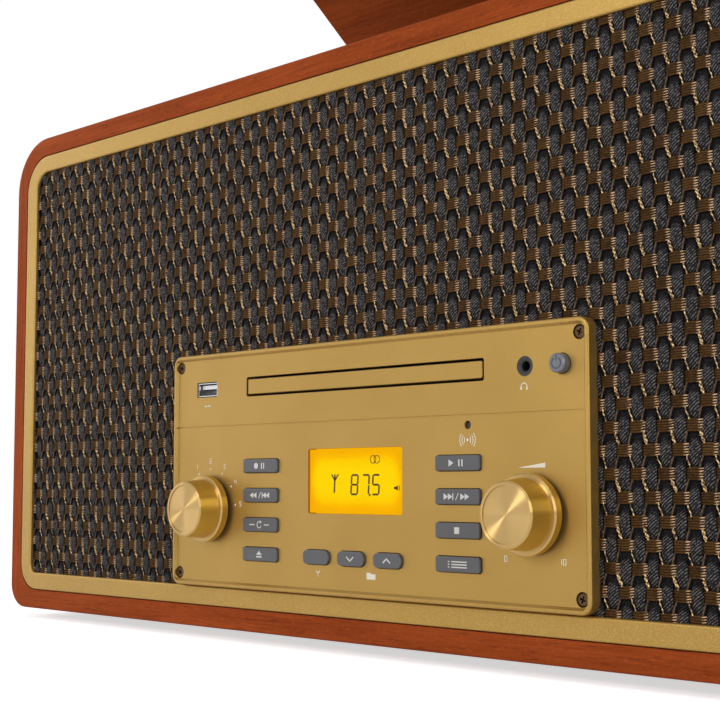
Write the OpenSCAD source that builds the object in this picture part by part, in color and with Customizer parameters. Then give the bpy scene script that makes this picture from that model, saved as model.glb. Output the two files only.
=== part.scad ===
// Stereo music centre in a wooden cabinet: turntable under a hinged lid, disc player and tuner in front.
// Millimetres. X runs to the right, the front faces -Y, Z is up and the floor is Z = 0.

/* [Cabinet] */
// Width of the wooden cabinet
cab_w = 508; // [480:1:640]
// Height of the wooden cabinet, without its feet
cab_h = 239; // [225:1:300]
// Depth of the wooden cabinet
cab_d = 338; // [336:1:420]
// Thickness of the veneered walls
wall_t = 9.2; // [8:0.1:12]
// Outer radius of the two top corners
corner_top = 26; // [22:1:30]
// Outer radius of the two bottom corners
corner_bottom = 12; // [10:1:16]
// Height of the rubber feet
foot_h = 5; // [3:0.5:8]
// Radius of the rubber feet
foot_r = 14; // [10:1:18]
// Distance of each foot's centre from the cabinet's edges
foot_inset = 60; // [50:1:90]
// Thickness of the back panel
back_t = 9; // [5:0.5:12]

/* [Lid] */
// Angle at which the lid stands open
lid_open = 38; // [20:1:60]
// Thickness of the lid
lid_t = 9; // [7:0.5:9]
// Depth of the fixed rail in front of the lid
lid_rail = 13; // [13:1:30]
// Gap round the closed lid
lid_gap = 0.4; // [0.3:0.1:1]
// Radius of the finger notch in the lid's front edge
notch_r = 12; // [8:1:18]
// Radius of the hinge knuckles
hinge_r = 3; // [2.5:0.1:4]
// Length of one hinge
hinge_w = 60; // [40:1:90]
// Distance of each hinge from the middle
hinge_x = 150; // [90:1:180]

/* [Front] */
// Width of the gold trim round the cloth
trim_w = 8.4; // [6:0.1:12]
// Outer radius of the trim's top corners
trim_corner_top = 18; // [14:1:22]
// Outer radius of the trim's bottom corners
trim_corner_bottom = 13; // [11:1:16]
// How far the trim stands in front of the cloth
trim_proud = 1.8; // [1:0.1:4]
// Thickness of the grille cloth
cloth_t = 1.6; // [1:0.1:3]
// Thickness of the board that carries the loudspeakers
baffle_t = 9; // [7:0.5:12]
// Radius of each loudspeaker hole
speaker_r = 47; // [40:1:50]
// Height of the loudspeakers above the cabinet's bottom
speaker_z = 120; // [110:1:122]

/* [Control panel] */
// Width of the control panel
panel_w = 228; // [226:1:280]
// Height of the control panel
panel_h = 100.4; // [98:0.1:125]
// How far the panel's face stands in front of the cloth
panel_proud = 4; // [3:0.1:6]
// Corner radius of the panel
panel_r = 4.5; // [3:0.1:8]
// Width of the rim round the panel's face
panel_rim_w = 1.5; // [1:0.1:3]
// How far the rim stands in front of the panel's face
panel_rim_h = 1.1; // [0.5:0.1:2]
// Width of a rectangular button
button_w = 21.5; // [16:0.1:26]
// Height of a rectangular button
button_h = 5.7; // [5:0.1:8]
// Width of a pill button
pill_w = 15; // [12:0.1:18]
// Step from one button row to the next
button_pitch = 12.2; // [10:0.1:14]
// How far the buttons stand out of the panel
button_proud = 1.2; // [0.9:0.1:2]
// Travel of the buttons
button_travel = 0.7; // [0.4:0.1:0.8]
// Radius of a knob's spun face
knob_r = 11; // [9:0.1:13]
// Radius of a knob's foot flange
knob_flange_r = 14.3; // [13:0.1:16]
// How far a knob stands out of the panel
knob_out = 14.8; // [12:0.1:24]
// Gap between a knob's foot and the panel
knob_gap = 1.9; // [1:0.1:3]
// Width of the disc slot
slot_w = 132; // [128:1:140]
// Height of the disc slot
slot_h = 8.3; // [8:0.1:12]
// Width of the display window
display_w = 52.5; // [40:0.5:56]
// Height of the display window
display_h = 25.9; // [18:0.1:30]
// Travel of the disc tray
tray_travel = 130; // [100:1:135]

/* [Turntable] */
// Depth of the well that holds the turntable, under the lid
well_depth = 50; // [48:1:60]
// Radius of the platter
platter_r = 146; // [130:1:147]
// Height of the platter
platter_h = 14; // [12:0.5:15]
// Thickness of the slip mat
mat_t = 2.5; // [1.5:0.5:4]
// Radius of the record spindle
spindle_r = 3.575; // [3.5:0.005:3.6]
// Distance from the spindle to the tonearm's pivot, to the right
pivot_dx = 182; // [180:1:190]
// Distance from the spindle to the tonearm's pivot, to the rear
pivot_dy = 96; // [90:1:110]
// Length of the tonearm from pivot to stylus
arm_l = 215; // [205:1:225]
// Radius of the belt track under the platter
track_r = 95; // [80:1:105]
// Radius of the motor pulley
pulley_r = 5.5; // [4:0.1:8]

/* [Hidden] */
$fn = 64;

// Running clearance of shafts, and the smallest gaps between fixed pieces
run_gap = 0.05;
fit_gap = 0.2;
part_gap = 0.3;
bead_step = 0.01;

// Depths, from the front. The whole object, open lid included, is centred on Y = 0.
panel_ahead = panel_proud - trim_proud;
rear_over = max(2 * hinge_r, hinge_r * (1 - cos(lid_open)) + lid_t * sin(lid_open));
y_panel = knob_out - (knob_out + panel_ahead + cab_d + rear_over) / 2;
y_front = y_panel + panel_ahead;
y_rear = y_front + cab_d;
y_cloth = y_front + trim_proud;
y_baffle = y_cloth + cloth_t;
y_inside = y_baffle + baffle_t;
y_back = y_rear - back_t;

// Heights
z_bottom = foot_h;
z_top = foot_h + cab_h;
z_rim = z_top - wall_t - fit_gap;
z_floor = z_rim - well_depth;
z_hinge = z_top - lid_t;

// Inside of the cabinet's cross-section, shared by shell, trim, baffle and back panel
in_x = cab_w / 2 - wall_t;
in_z0 = z_bottom + wall_t;
in_z1 = z_top - wall_t;
trim_leg = 2.4;
board_inset = trim_leg + 2 * fit_gap;

// Lid, deck and well
rim_under = 2.2;
rim_t = 2.5;
rim_w = 14;
deck_wall = 3;
floor_t = 4;
lid_w = cab_w - 2 * (wall_t + trim_corner_top + rim_under + 0.6);
lid_y0 = y_front + lid_rail + lid_gap;
deck_y0 = max(y_inside, y_front + lid_rail - 0.6) + fit_gap;
deck_y1 = y_back - part_gap;
well_x = lid_w / 2 - rim_w;
well_y0 = max(deck_y0 + deck_wall + 2, lid_y0 + 4.6);
well_y1 = deck_y1 - 5;
well_r = 12;
y_hinge = y_rear + hinge_r;

// Control panel: px runs from its middle, pz up from its bottom edge
panel_gap = 0.3;
panel_z = in_z0 + fit_gap + trim_w + panel_gap;
skirt_t = 2;
skirt_x = panel_w / 2 - 12;
skirt_in = 3;
skirt_d = 10;
screw_in_x = 4.4;
screw_r = 2.45;
screw_in_z = 5.2;
upper_row = panel_h - 15.55;
groove_z = panel_h - 31.7;
button_z = [for (i = [0:3]) 14.8 + (3 - i) * button_pitch];
left_x = -54.7;
right_x = 54.8;
pill_x = [-20.5, -0.7, 19.2];
pill_h = 5.8;
knob_z = 33.3;
knob_x = 88.6;
display_x = 0.2;
display_z = 45;
slot_x = 1.2;
usb_x = -91.35;
usb_w = 14;
usb_h = 6.6;
jack_x = 85.9;
jack_r = 3.53;
plug_r = 1.8;
power_x = 102.2;
power_r = 3.4;
power_out = 3.4;
led_x = 59.3;
led_z = 65.1;
led_r = 1.5;
board_y = y_panel + panel_proud + 9;

// Disc unit
tray_t = 6.4;
tray_w = slot_w - 3;
tray_l = 165;
disc_r = 60.4;
loader_wall = 1.2;
loader_y0 = y_panel + panel_proud + skirt_d + 1;
loader_y1 = loader_y0 + 178;
tray_z = panel_z + upper_row;

// Loudspeakers, centred between panel and cabinet wall
speaker_x = (panel_w / 2 + in_x) / 2;
flange_r = speaker_r + 4;

// Turntable: the platter stands a fixed step from the well's left wall
platter_x = -well_x + 160;
platter_y = (well_y0 + well_y1) / 2;
dish = 1.5;
platter_z = z_floor + 1.5;
mat_z = platter_z + platter_h;
belt_t = 0.6;
belt_w = 5;
pulley_d = track_r + 25;
shaft_r = spindle_r + 0.4;
pulley_a = 135;
pulley_x = platter_x + pulley_d * cos(pulley_a);
pulley_y = platter_y + pulley_d * sin(pulley_a);
pivot_x = platter_x + pivot_dx;
pivot_y = platter_y + pivot_dy;
arm_z = mat_z + mat_t + 15;
shell_a = 20;

// Helpers

// Rounded rectangle from corner to corner, with one radius at its top and one at its bottom
module round_rect(x0, z0, x1, z1, rt, rb) {
    r = max(rt, rb);
    translate([x0 + r, z0]) square([x1 - x0 - 2 * r, z1 - z0]);
    if (z1 - z0 > rt + rb + 0.01) translate([x0, z0 + rb]) square([x1 - x0, z1 - z0 - rt - rb]);
    if (rb < r) translate([x0 + rb, z0]) square([x1 - x0 - 2 * rb, r]);
    if (rt < r) translate([x0 + rt, z1 - r]) square([x1 - x0 - 2 * rt, r]);
    for (x = [x0 + rb, x1 - rb]) translate([x, z0 + rb]) circle(rb);
    for (x = [x0 + rt, x1 - rt]) translate([x, z1 - rt]) circle(rt);
}

// Upright plate from y0 to y1, drawn in X and Z
module slab(y0, y1) {
    translate([0, y1, 0]) rotate([90, 0, 0]) linear_extrude(y1 - y0) children();
}

module block(x0, y0, z0, x1, y1, z1) {
    translate([x0, y0, z0]) cube([x1 - x0, y1 - y0, z1 - z0]);
}

module rod_x(x0, x1, y, z, r) {
    translate([x0, y, z]) rotate([0, 90, 0]) cylinder(r = r, h = x1 - x0);
}

module rod_y(x, y0, y1, z, r, r2 = 0) {
    translate([x, y0, z]) rotate([-90, 0, 0]) cylinder(r1 = r, r2 = r2 > 0 ? r2 : r, h = y1 - y0);
}

module rod_z(x, y, z0, z1, r) {
    translate([x, y, z0]) cylinder(r = r, h = z1 - z0);
}

// Quarter ring in the XZ plane, from the angle a on
module corner_ring(x, y, z, ring_r, e, a) {
    translate([x, y, z]) rotate([90, 0, 0]) rotate([0, 0, a])
        rotate_extrude(angle = 90) translate([ring_r, 0]) circle(e, $fn = 24);
}

// Round bead of radius e that follows a rounded rectangle
module outline_bead(x0, z0, x1, z1, rt, rb, y, e) {
    rod_x(x0 + rb, x1 - rb, y, z0, e, $fn = 24);
    rod_x(x0 + rt, x1 - rt, y, z1, e, $fn = 24);
    for (x = [x0, x1]) rod_z(x, y, z0 + rb, z1 - rt, e, $fn = 24);
    corner_ring(x1 - rt, y, z1 - rt, rt, e, 0);
    corner_ring(x0 + rt, y, z1 - rt, rt, e, 90);
    corner_ring(x0 + rb, y, z0 + rb, rb, e, 180);
    corner_ring(x1 - rb, y, z0 + rb, rb, e, 270);
}

// Plate with its front edge rounded by e. Its flat faces stay a hair inside the round bead.
module soft_slab(x0, z0, x1, z1, rt, rb, y0, y1, e) {
    t = bead_step;
    slab(y0 + t, y0 + e) round_rect(x0 + e, z0 + e, x1 - e, z1 - e, rt - e, rb - e);
    slab(y0 + e, y1) round_rect(x0 + t, z0 + t, x1 - t, z1 - t, rt - t, rb - t);
    outline_bead(x0 + e, z0 + e, x1 - e, z1 - e, rt - e, rb - e, y0 + e, e);
}

// Small plate with round corners whose front edges are bevelled by c
module bevel_slab(x0, z0, x1, z1, r, y0, y1, c) {
    h = c / 3;
    intersection() {
        slab(y0, y1) round_rect(x0, z0, x1, z1, r, r);
        translate([0, 0, z0 - 1]) linear_extrude(z1 - z0 + 2) polygon([[x0 + c, y0 - 0.01],
            [x0 + h, y0 + h], [x0 - 0.01, y0 + c], [x0 - 0.01, y1 + 1], [x1 + 0.01, y1 + 1],
            [x1 + 0.01, y0 + c], [x1 - h, y0 + h], [x1 - c, y0 - 0.01]]);
        translate([x0 - 1, 0, 0]) rotate([90, 0, 90]) linear_extrude(x1 - x0 + 2) polygon([
            [y0 - 0.01, z0 + c], [y0 + h, z0 + h], [y0 + c, z0 - 0.01], [y1 + 1, z0 - 0.01],
            [y1 + 1, z1 + 0.01], [y0 + c, z1 + 0.01], [y0 + h, z1 - h], [y0 - 0.01, z1 - c]]);
    }
}

// The cabinet's inside outline, drawn in by a distance
module inside_outline(inset) {
    round_rect(-in_x + inset, in_z0 + inset, in_x - inset, in_z1 - inset,
        trim_corner_top + fit_gap - inset, trim_corner_bottom + fit_gap - inset);
}

// Board outline with the opening for the control unit
module front_board(y0, y1) {
    difference() {
        slab(y0, y1) inside_outline(board_inset);
        block(-skirt_x - fit_gap, y0 - 1, panel_z + skirt_in - fit_gap,
            skirt_x + fit_gap, y1 + 1, panel_z + panel_h - skirt_in + fit_gap);
        panel_screw_places() rod_y(0, y0 - 1, y1 + 1, 0, 1.5 + run_gap, $fn = 24);
        power_room(y0 - 1, y1 + 1);
    }
}

// Round room that the power button's flange and plunger need behind the panel
module power_room(y0, y1) {
    rod_y(power_x, y0, y1, panel_z + upper_row, power_r + 2);
}

module panel_screw_places() {
    for (x = [-1, 1], z = [screw_in_z, panel_h - screw_in_z])
        translate([x * (panel_w / 2 - screw_in_x), 0, panel_z + z]) children();
}

// Cabinet

module cabinet_shell() {
    batten = 12;
    ledge_z1 = z_rim - rim_t - fit_gap;
    color("sienna") {
        difference() {
            soft_slab(-cab_w / 2, z_bottom, cab_w / 2, z_top, corner_top, corner_bottom,
                y_front, y_rear, 1.2);
            slab(y_front - 1, y_rear + 1) inside_outline(0);
            block(-lid_w / 2 - lid_gap, y_front + lid_rail, in_z1 - 20,
                lid_w / 2 + lid_gap, y_rear + 1, z_top + 1);
        }
        for (s = [-1, 1]) {
            // battens behind the baffle and in front of the back panel, and the ledge under the deck
            x0 = min(s * (in_x - batten), s * (in_x + 1));
            x1 = max(s * (in_x - batten), s * (in_x + 1));
            block(x0, y_inside + fit_gap, in_z0 + 20, x1, y_inside + 15, ledge_z1 - 14);
            block(x0, y_back - 15, in_z0 + 20, x1, y_back - fit_gap, ledge_z1 - 14);
            ledge_x = well_x + deck_wall + part_gap;
            block(min(s * ledge_x, s * (in_x + 1)), y_inside + 1, ledge_z1 - 14,
                max(s * ledge_x, s * (in_x + 1)), y_back - 1, ledge_z1);
        }
        block(-in_x + 20, y_inside + fit_gap, in_z0 - 1, in_x - 20, y_inside + 15, in_z0 + batten);
        block(-in_x + 20, y_back - 15, in_z0 - 1, in_x - 20, y_back - fit_gap, in_z0 + batten);
    }
}

socket_x = 150;
socket_z = z_bottom + 62;

module back_screw_places() {
    for (x = [-in_x + 6, in_x - 6], z = [in_z0 + 40, z_floor - 28]) translate([x, 0, z]) children();
    for (x = [-in_x + 60, 0, in_x - 60]) translate([x, 0, in_z0 + 6]) children();
}

module back_panel() {
    vent_w = 90;
    color("dimgray") difference() {
        slab(y_back, y_rear) round_rect(-in_x + fit_gap, in_z0 + fit_gap, in_x - fit_gap,
            min(z_hinge, in_z1) - fit_gap, trim_corner_top, trim_corner_bottom);
        // two fields of ventilation slots with round ends
        for (x = [-speaker_x, -speaker_x + vent_w + 30], i = [0:5])
            translate([0, 0, z_bottom + 88 + i * 11]) {
                block(x - vent_w / 2, y_back - 1, -1.75, x + vent_w / 2, y_rear + 1, 1.75);
                for (s = [-1, 1]) rod_y(x + s * vent_w / 2, y_back - 1, y_rear + 1, 0, 1.75, $fn = 24);
            }
        block(socket_x - 46, y_back - 1, socket_z - 15, socket_x + 46, y_rear + 1, socket_z + 15);
        back_screw_places() rod_y(0, y_back - 1, y_rear + 1, 0, 1.8, $fn = 24);
    }
}

module back_screws() {
    color("black") back_screw_places() {
        difference() {
            rod_y(0, y_rear, y_rear + 1.6, 0, 3.6, 2.6, $fn = 32);
            for (a = [0, 90]) translate([0, y_rear + 1.2, 0]) rotate([0, a, 0])
                cube([3.6, 1, 0.8], center = true);
        }
        rod_y(0, y_back + 2, y_rear + 0.2, 0, 1.5, $fn = 24);
    }
}

module feet() {
    color("black") for (x = [-1, 1], y = [y_front + foot_inset, y_rear - foot_inset])
        translate([x * (cab_w / 2 - foot_inset), y, 0]) difference() {
            cylinder(r1 = foot_r - 1.5, r2 = foot_r, h = foot_h);
            translate([0, 0, -1]) cylinder(r = 4, h = foot_h - 1.5);
        }
}

// Front

module trim_frame() {
    e = 0.85;
    inner = fit_gap + trim_w;
    x1 = in_x - fit_gap;
    z0 = in_z0 + fit_gap;
    z1 = in_z1 - fit_gap;
    rt = trim_corner_top;
    rb = trim_corner_bottom;
    c = trim_w - e;
    color("goldenrod") {
        difference() {
            slab(y_front, y_front + e) inside_outline(fit_gap + e);
            slab(y_front - 1, y_front + e + 1) inside_outline(inner - e);
        }
        difference() {
            slab(y_front + e, y_cloth) inside_outline(fit_gap);
            slab(y_front, y_cloth + 1) inside_outline(inner);
        }
        outline_bead(-x1 + e, z0 + e, x1 - e, z1 - e, rt - e, rb - e, y_front + e, e);
        outline_bead(-x1 + c, z0 + c, x1 - c, z1 - c, rt - c, rb - c, y_front + e, e);
        // leg that runs back round the cloth's edge
        difference() {
            slab(y_cloth - 0.1, y_baffle + baffle_t - 1) inside_outline(fit_gap);
            slab(y_cloth - 1, y_inside + 1) inside_outline(fit_gap + trim_leg);
        }
    }
}

module baffle_board() {
    color("burlywood") difference() {
        front_board(y_baffle, y_inside);
        for (s = [-1, 1]) rod_y(s * speaker_x, y_baffle - 1, y_inside + 1, z_bottom + speaker_z, speaker_r);
    }
}

module grille_cloth() {
    color("black") front_board(y_cloth, y_baffle);
}

// One loudspeaker basket with its magnet, seen from the front along +Y
module speaker_frame() {
    depth = 40;
    throat_r = 26;
    difference() {
        union() {
            rod_y(0, 0, 2, 0, flange_r);
            rod_y(0, 2, depth - 12, 0, speaker_r - 1, throat_r);
        }
        rod_y(0, -1, 4.5, 0, speaker_r - 4);
        rod_y(0, 4.4, depth - 13.5, 0, speaker_r - 6, throat_r - 2);
        rod_y(0, depth - 14, depth - 11, 0, 14);
        for (a = [0:60:300]) rotate([0, a, 0]) translate([0, 6, 0])
            block(-7, 0, throat_r + 2, 7, depth - 22, speaker_r);
    }
    difference() {
        rod_y(0, depth - 12.5, depth + 4, 0, 30);
        rod_y(0, depth - 13, depth - 2, 0, 14);
    }
    rod_y(0, depth - 12, depth - 1, 0, 9);
}

module speaker_frames() {
    color("silver") for (s = [-1, 1])
        translate([s * speaker_x, y_inside, z_bottom + speaker_z]) speaker_frame();
}

// Paper cone with its rolled rim, dust cap and voice coil, as one turned shell
module speaker_cones() {
    rim = speaker_r - 4.05;
    color("#202020") for (s = [-1, 1])
        translate([s * speaker_x, y_inside, z_bottom + speaker_z]) rotate([-90, 0, 0])
            rotate_extrude() polygon(concat(
                [[0, 9], [8, 10], [14, 13], [15, 17]],
                [[rim - 8, 3]], [for (a = [180:-30:0]) [rim - 4 + 4 * cos(a), 2.5 - 2 * sin(a)]],
                [[rim, 3.3]], [[rim - 7.4, 4.2], [15.6, 18.5], [12.5, 27], [11.5, 27]],
                [[13.6, 16], [8, 11], [0, 10]]));
}

// Control panel

module panel_opening(px, pz, w, h, r) {
    slab(y_panel - 1, y_panel + panel_proud + 1)
        round_rect(px - w / 2, panel_z + pz - h / 2, px + w / 2, panel_z + pz + h / 2, r, r);
}

module button_hole(px, pz, w, h, r) {
    panel_opening(px, pz, w + 0.5, h + 0.5, r + 0.25);
}

// Room in front of the panel's face, with walls that slope out to the rim
module face_pocket() {
    slope = 0.9;
    g = slope * panel_rim_h;
    y0 = y_panel - panel_rim_h;
    x = panel_w / 2 - panel_rim_w - g;
    z0 = panel_z + panel_rim_w + g;
    z1 = panel_z + panel_h - panel_rim_w - g;
    r = panel_r - panel_rim_w;
    intersection() {
        slab(y0 - 1, y_panel) round_rect(-x - g, z0 - g, x + g, z1 + g, r, r);
        translate([0, 0, z0 - 5]) linear_extrude(z1 - z0 + 10) polygon([[-x, y_panel], [-x - g, y0],
            [-x - g - 1, y0 - 2], [x + g + 1, y0 - 2], [x + g, y0], [x, y_panel]]);
        translate([-x - 5, 0, 0]) rotate([90, 0, 90]) linear_extrude(2 * x + 10) polygon([[y_panel, z0],
            [y0, z0 - g], [y0 - 2, z0 - g - 1], [y0 - 2, z1 + g + 1], [y0, z1 + g], [y_panel, z1]]);
    }
}

module control_panel() {
    x1 = panel_w / 2;
    z1 = panel_z + panel_h;
    y_hole0 = y_panel - panel_rim_h - 1;
    y_hole1 = y_panel + panel_proud + 1;
    color("goldenrod") difference() {
        union() {
            soft_slab(-x1, panel_z, x1, z1, panel_r, panel_r, y_panel - panel_rim_h,
                y_panel + panel_proud, 0.9);
            difference() {
                slab(y_panel + panel_proud, y_panel + panel_proud + skirt_d) round_rect(-skirt_x,
                    panel_z + skirt_in, skirt_x, z1 - skirt_in, 0.5, 0.5);
                slab(y_panel, y_panel + 40) round_rect(-skirt_x + skirt_t,
                    panel_z + skirt_in + skirt_t, skirt_x - skirt_t, z1 - skirt_in - skirt_t, 0.5, 0.5);
                power_room(y_panel + panel_proud, y_panel + 40);
            }
        }
        face_pocket();
        // groove under the disc slot
        block(-x1 + panel_rim_w + 0.5, y_panel - 1, panel_z + groove_z - 0.3, x1 - panel_rim_w - 0.5,
            y_panel + 0.35, panel_z + groove_z + 0.3);
        panel_opening(slot_x, upper_row, slot_w, slot_h, 1);
        panel_opening(usb_x, upper_row, usb_w, usb_h, 0.4);
        panel_opening(display_x, display_z, display_w, display_h, 1.2);
        rod_y(jack_x, y_hole0, y_hole1, panel_z + upper_row, jack_r + run_gap);
        rod_y(power_x, y_hole0, y_hole1, panel_z + upper_row, power_r + 0.3);
        rod_y(led_x, y_hole0, y_hole1, panel_z + led_z, led_r + run_gap, $fn = 32);
        for (x = [-knob_x, knob_x]) rod_y(x, y_hole0, y_hole1, panel_z + knob_z, 4.2);
        for (z = button_z) {
            button_hole(left_x, z, button_w, button_h, 1.2);
            button_hole(right_x, z, button_w, button_h, 1.2);
        }
        for (x = pill_x) button_hole(x, button_z[3], pill_w, pill_h, pill_h / 2);
        panel_screw_places() {
            rod_y(0, y_hole0, y_hole1, 0, 1.5 + run_gap, $fn = 24);
            rod_y(0, y_hole0, y_panel + 2, 0, screw_r + 0.2, $fn = 32);
        }
    }
}

module panel_screws() {
    color("#5a4a35") panel_screw_places() {
        difference() {
            union() {
                rod_y(0, y_panel + 0.2, y_panel + 0.6, 0, screw_r - 0.5, screw_r, $fn = 32);
                rod_y(0, y_panel + 0.6, y_panel + 2, 0, screw_r, $fn = 32);
            }
            for (a = [0, 90]) translate([0, y_panel + 0.6, 0]) rotate([0, a + 20, 0])
                cube([2.6, 1.6, 0.65], center = true);
        }
        rod_y(0, y_panel + 1.9, y_inside - 1, 0, 1.5, $fn = 24);
    }
}

module display_window() {
    g = 0.1;
    color("gold", 0.5) slab(y_panel + 0.25, y_panel + 0.75) round_rect(
        display_x - display_w / 2 + g, panel_z + display_z - display_h / 2 + g,
        display_x + display_w / 2 - g, panel_z + display_z + display_h / 2 - g, 1.1, 1.1);
}

module display_module() {
    w = display_w / 2;
    h = display_h / 2;
    z = panel_z + display_z;
    y = y_panel + 0.8;
    color("orange") block(display_x - w + 0.4, y, z - h + 0.4, display_x + w - 0.4, y + 2.4, z + h - 0.4);
    color("whitesmoke") block(display_x - w - 4, y_panel + panel_proud + 0.2, z - h - 3,
        display_x + w + 4, y_panel + panel_proud + 4, z + h + 3);
}

module usb_socket() {
    w = 13.1;
    h = 5.8;
    z = panel_z + upper_row;
    y0 = y_panel + 0.4;
    color("silver") difference() {
        block(usb_x - w / 2, y0, z - h / 2, usb_x + w / 2, y0 + 14, z + h / 2);
        block(usb_x - w / 2 + 0.35, y0 - 1, z - h / 2 + 0.35, usb_x + w / 2 - 0.35, y0 + 12,
            z + h / 2 - 0.35);
    }
    color("white") block(usb_x - 5.6, y0 + 1.5, z + 0.3, usb_x + 5.6, y0 + 12.5, z + 2);
}

module aux_socket() {
    z = panel_z + upper_row;
    y1 = y_panel + 15;
    color("#151515") difference() {
        union() {
            rod_y(jack_x, y_panel + 0.1, y_panel + 6, z, jack_r);
            block(jack_x - 5, y_panel + panel_proud + 1, z - 6, jack_x + 5, y1, z + 6);
        }
        rod_y(jack_x, y_panel - 1, y1 - 1, z, plug_r);
        rod_y(jack_x, y_panel, y_panel + 0.6, z, 2.7, plug_r);
    }
}

module status_led() {
    color("#303040") {
        rod_y(led_x, y_panel + 1.2, y_panel + 6, panel_z + led_z, led_r, $fn = 32);
        rod_y(led_x, y_panel + panel_proud + 1, y_panel + 8, panel_z + led_z, 2, $fn = 32);
    }
}

// Rotary control behind a knob: bush, case and legs. Its shaft belongs to the knob.
module rotary_control(x, case_r) {
    z = panel_z + knob_z;
    y = y_panel + panel_proud;
    color("silver") difference() {
        union() {
            rod_y(x, y_panel - 1.2, y + 1, z, 4);
            rod_y(x, y_panel - 1, y_panel - 0.02, z, 6.4, $fn = 6);
            rod_y(x, y + 0.8, y + 3, z, 7);
            rod_y(x, y + 3, board_y + 8, z, case_r);
        }
        rod_y(x, y_panel - 3, board_y + 7, z, 3 + run_gap);
    }
}

module selector_switch() {
    rotary_control(-knob_x, 9);
}

module volume_control() {
    rotary_control(knob_x, 8);
}

// Circuit board behind the buttons, with one press switch behind each
module key_board() {
    y0 = board_y;
    top = panel_z + button_z[0] + 7;
    switch_y = y_panel + panel_proud + 4;
    color("darkgreen") difference() {
        block(-skirt_x + skirt_t + 1, y0, panel_z + skirt_in + skirt_t + 1, skirt_x - skirt_t - 1,
            y0 + 1.6, top);
        rod_y(-knob_x, y0 - 1, y0 + 3, panel_z + knob_z, 9.5);
        rod_y(knob_x, y0 - 1, y0 + 3, panel_z + knob_z, 8.5);
    }
    color("#222222") {
        for (x = [left_x, right_x], z = button_z) key_switch(x, z, switch_y + 0.3, y0);
        for (x = pill_x) key_switch(x, button_z[3], switch_y + 0.3, y0);
    }
}

module key_switch(px, pz, y0, y1) {
    z = panel_z + pz;
    block(px - 3, y0 + button_travel + 1, z - 3, px + 3, y1 + 0.1, z + 3);
    rod_y(px, y0 + button_travel, y0 + button_travel + 1.1, z, 1.7, $fn = 32);
}

// Disc unit: metal case with side rails, the motor hub, the laser's sled and the clamp bridge
module disc_loader() {
    w = tray_w / 2 + 5;
    z0 = tray_z - 19;
    z1 = tray_z + 8;
    rail_z0 = tray_z - tray_t / 2 - 3.2;
    color("silver") {
        difference() {
            block(slot_x - w, loader_y0, z0, slot_x + w, loader_y1, z1);
            block(slot_x - w + loader_wall, loader_y0 - 1, z0 + loader_wall, slot_x + w - loader_wall,
                loader_y1 - loader_wall, z1 - loader_wall);
            translate([slot_x, (loader_y0 + loader_y1) / 2 - 10, z1 - 3]) cylinder(r = 22, h = 10);
        }
        for (s = [-1, 1]) {
            x0 = min(s * (w - 0.5), s * (tray_w / 2 - 4));
            x1 = max(s * (w - 0.5), s * (tray_w / 2 - 4));
            block(slot_x + x0, loader_y0, rail_z0, slot_x + x1, loader_y1 - 0.5, rail_z0 + 3);
        }
    }
    color("#303030") {
        rod_z(slot_x, disc_y, z0 + 1, rail_z0 - 1, 15);
        rod_z(slot_x, disc_y, rail_z0 - 1.1, rail_z0 + 2, 7);
        block(slot_x - 20, disc_y + 20, z0 + 1, slot_x + 20, disc_y + 46, rail_z0 - 1);
    }
}

disc_y = y_panel + 4 + disc_r + 6;

// Sliding tray with its two disc recesses and the window for hub and laser
module disc_tray() {
    z0 = tray_z - tray_t / 2;
    z1 = tray_z + tray_t / 2;
    y0 = y_panel + 3.2;
    color("#1c1c1c") difference() {
        block(slot_x - tray_w / 2, y0, z0, slot_x + tray_w / 2, y0 + tray_l, z1);
        translate([slot_x, disc_y, z1 - 1.8]) cylinder(r = disc_r, h = 5);
        translate([slot_x, disc_y, z1 - 3]) cylinder(r = 41, h = 5);
        translate([slot_x, disc_y, z0 - 1]) cylinder(r = 18, h = 20);
        block(slot_x - 18, disc_y, z0 - 1, slot_x + 18, disc_y + 52, z1 + 1);
        for (s = [-1, 1]) block(slot_x + s * (tray_w / 2 - 8) - 3, disc_y + disc_r + 4, z0 - 1,
            slot_x + s * (tray_w / 2 - 8) + 3, y0 + tray_l - 8, z1 - 2);
    }
}

module tray_front() {
    g = 1;
    color("goldenrod") bevel_slab(slot_x - slot_w / 2 + g, tray_z - slot_h / 2 + g,
        slot_x + slot_w / 2 - g, tray_z + slot_h / 2 - g, 0.8, y_panel, y_panel + 3.2, 0.3);
}

// Knob, turned from bar: foot flange, slightly conical body, rim and spun face
module knob(x) {
    z = panel_z + knob_z;
    y0 = y_panel - knob_out;
    y1 = y_panel - knob_gap;
    foot_y = y1 - 3.5;
    color("goldenrod") difference() {
        union() {
            rod_y(x, y0, y0 + 0.6, z, knob_r, knob_r + 0.6);
            rod_y(x, y0 + 0.6, foot_y + 0.1, z, knob_r + 0.6, knob_flange_r - 1.7);
            rod_y(x, foot_y, foot_y + 0.6, z, knob_flange_r - 0.6, knob_flange_r);
            rod_y(x, foot_y + 0.6, y1, z, knob_flange_r);
        }
        rod_y(x, y0 - 1, y0 + 0.35, z, knob_r - 0.9);
        rod_y(x, y1 - 2, y1 + 1, z, 9);
    }
    // shaft that turns in the control's bush
    color("silver") rod_y(x, y1 - 3, board_y + 6, z, 3);
}

module function_knob() {
    knob(-knob_x);
}

module volume_knob() {
    knob(knob_x);
}

module power_button() {
    z = panel_z + upper_row;
    y = y_panel + panel_proud;
    color("gray") {
        rod_y(power_x, y_panel - power_out, y_panel - power_out + 0.5, z, power_r - 0.4, power_r);
        rod_y(power_x, y_panel - power_out + 0.5, y + 0.6, z, power_r);
        rod_y(power_x, y + 0.5, y + 1.7, z, power_r + 1);
        rod_y(power_x, y + 1.6, y + 8, z, 1.6);
    }
}

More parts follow.
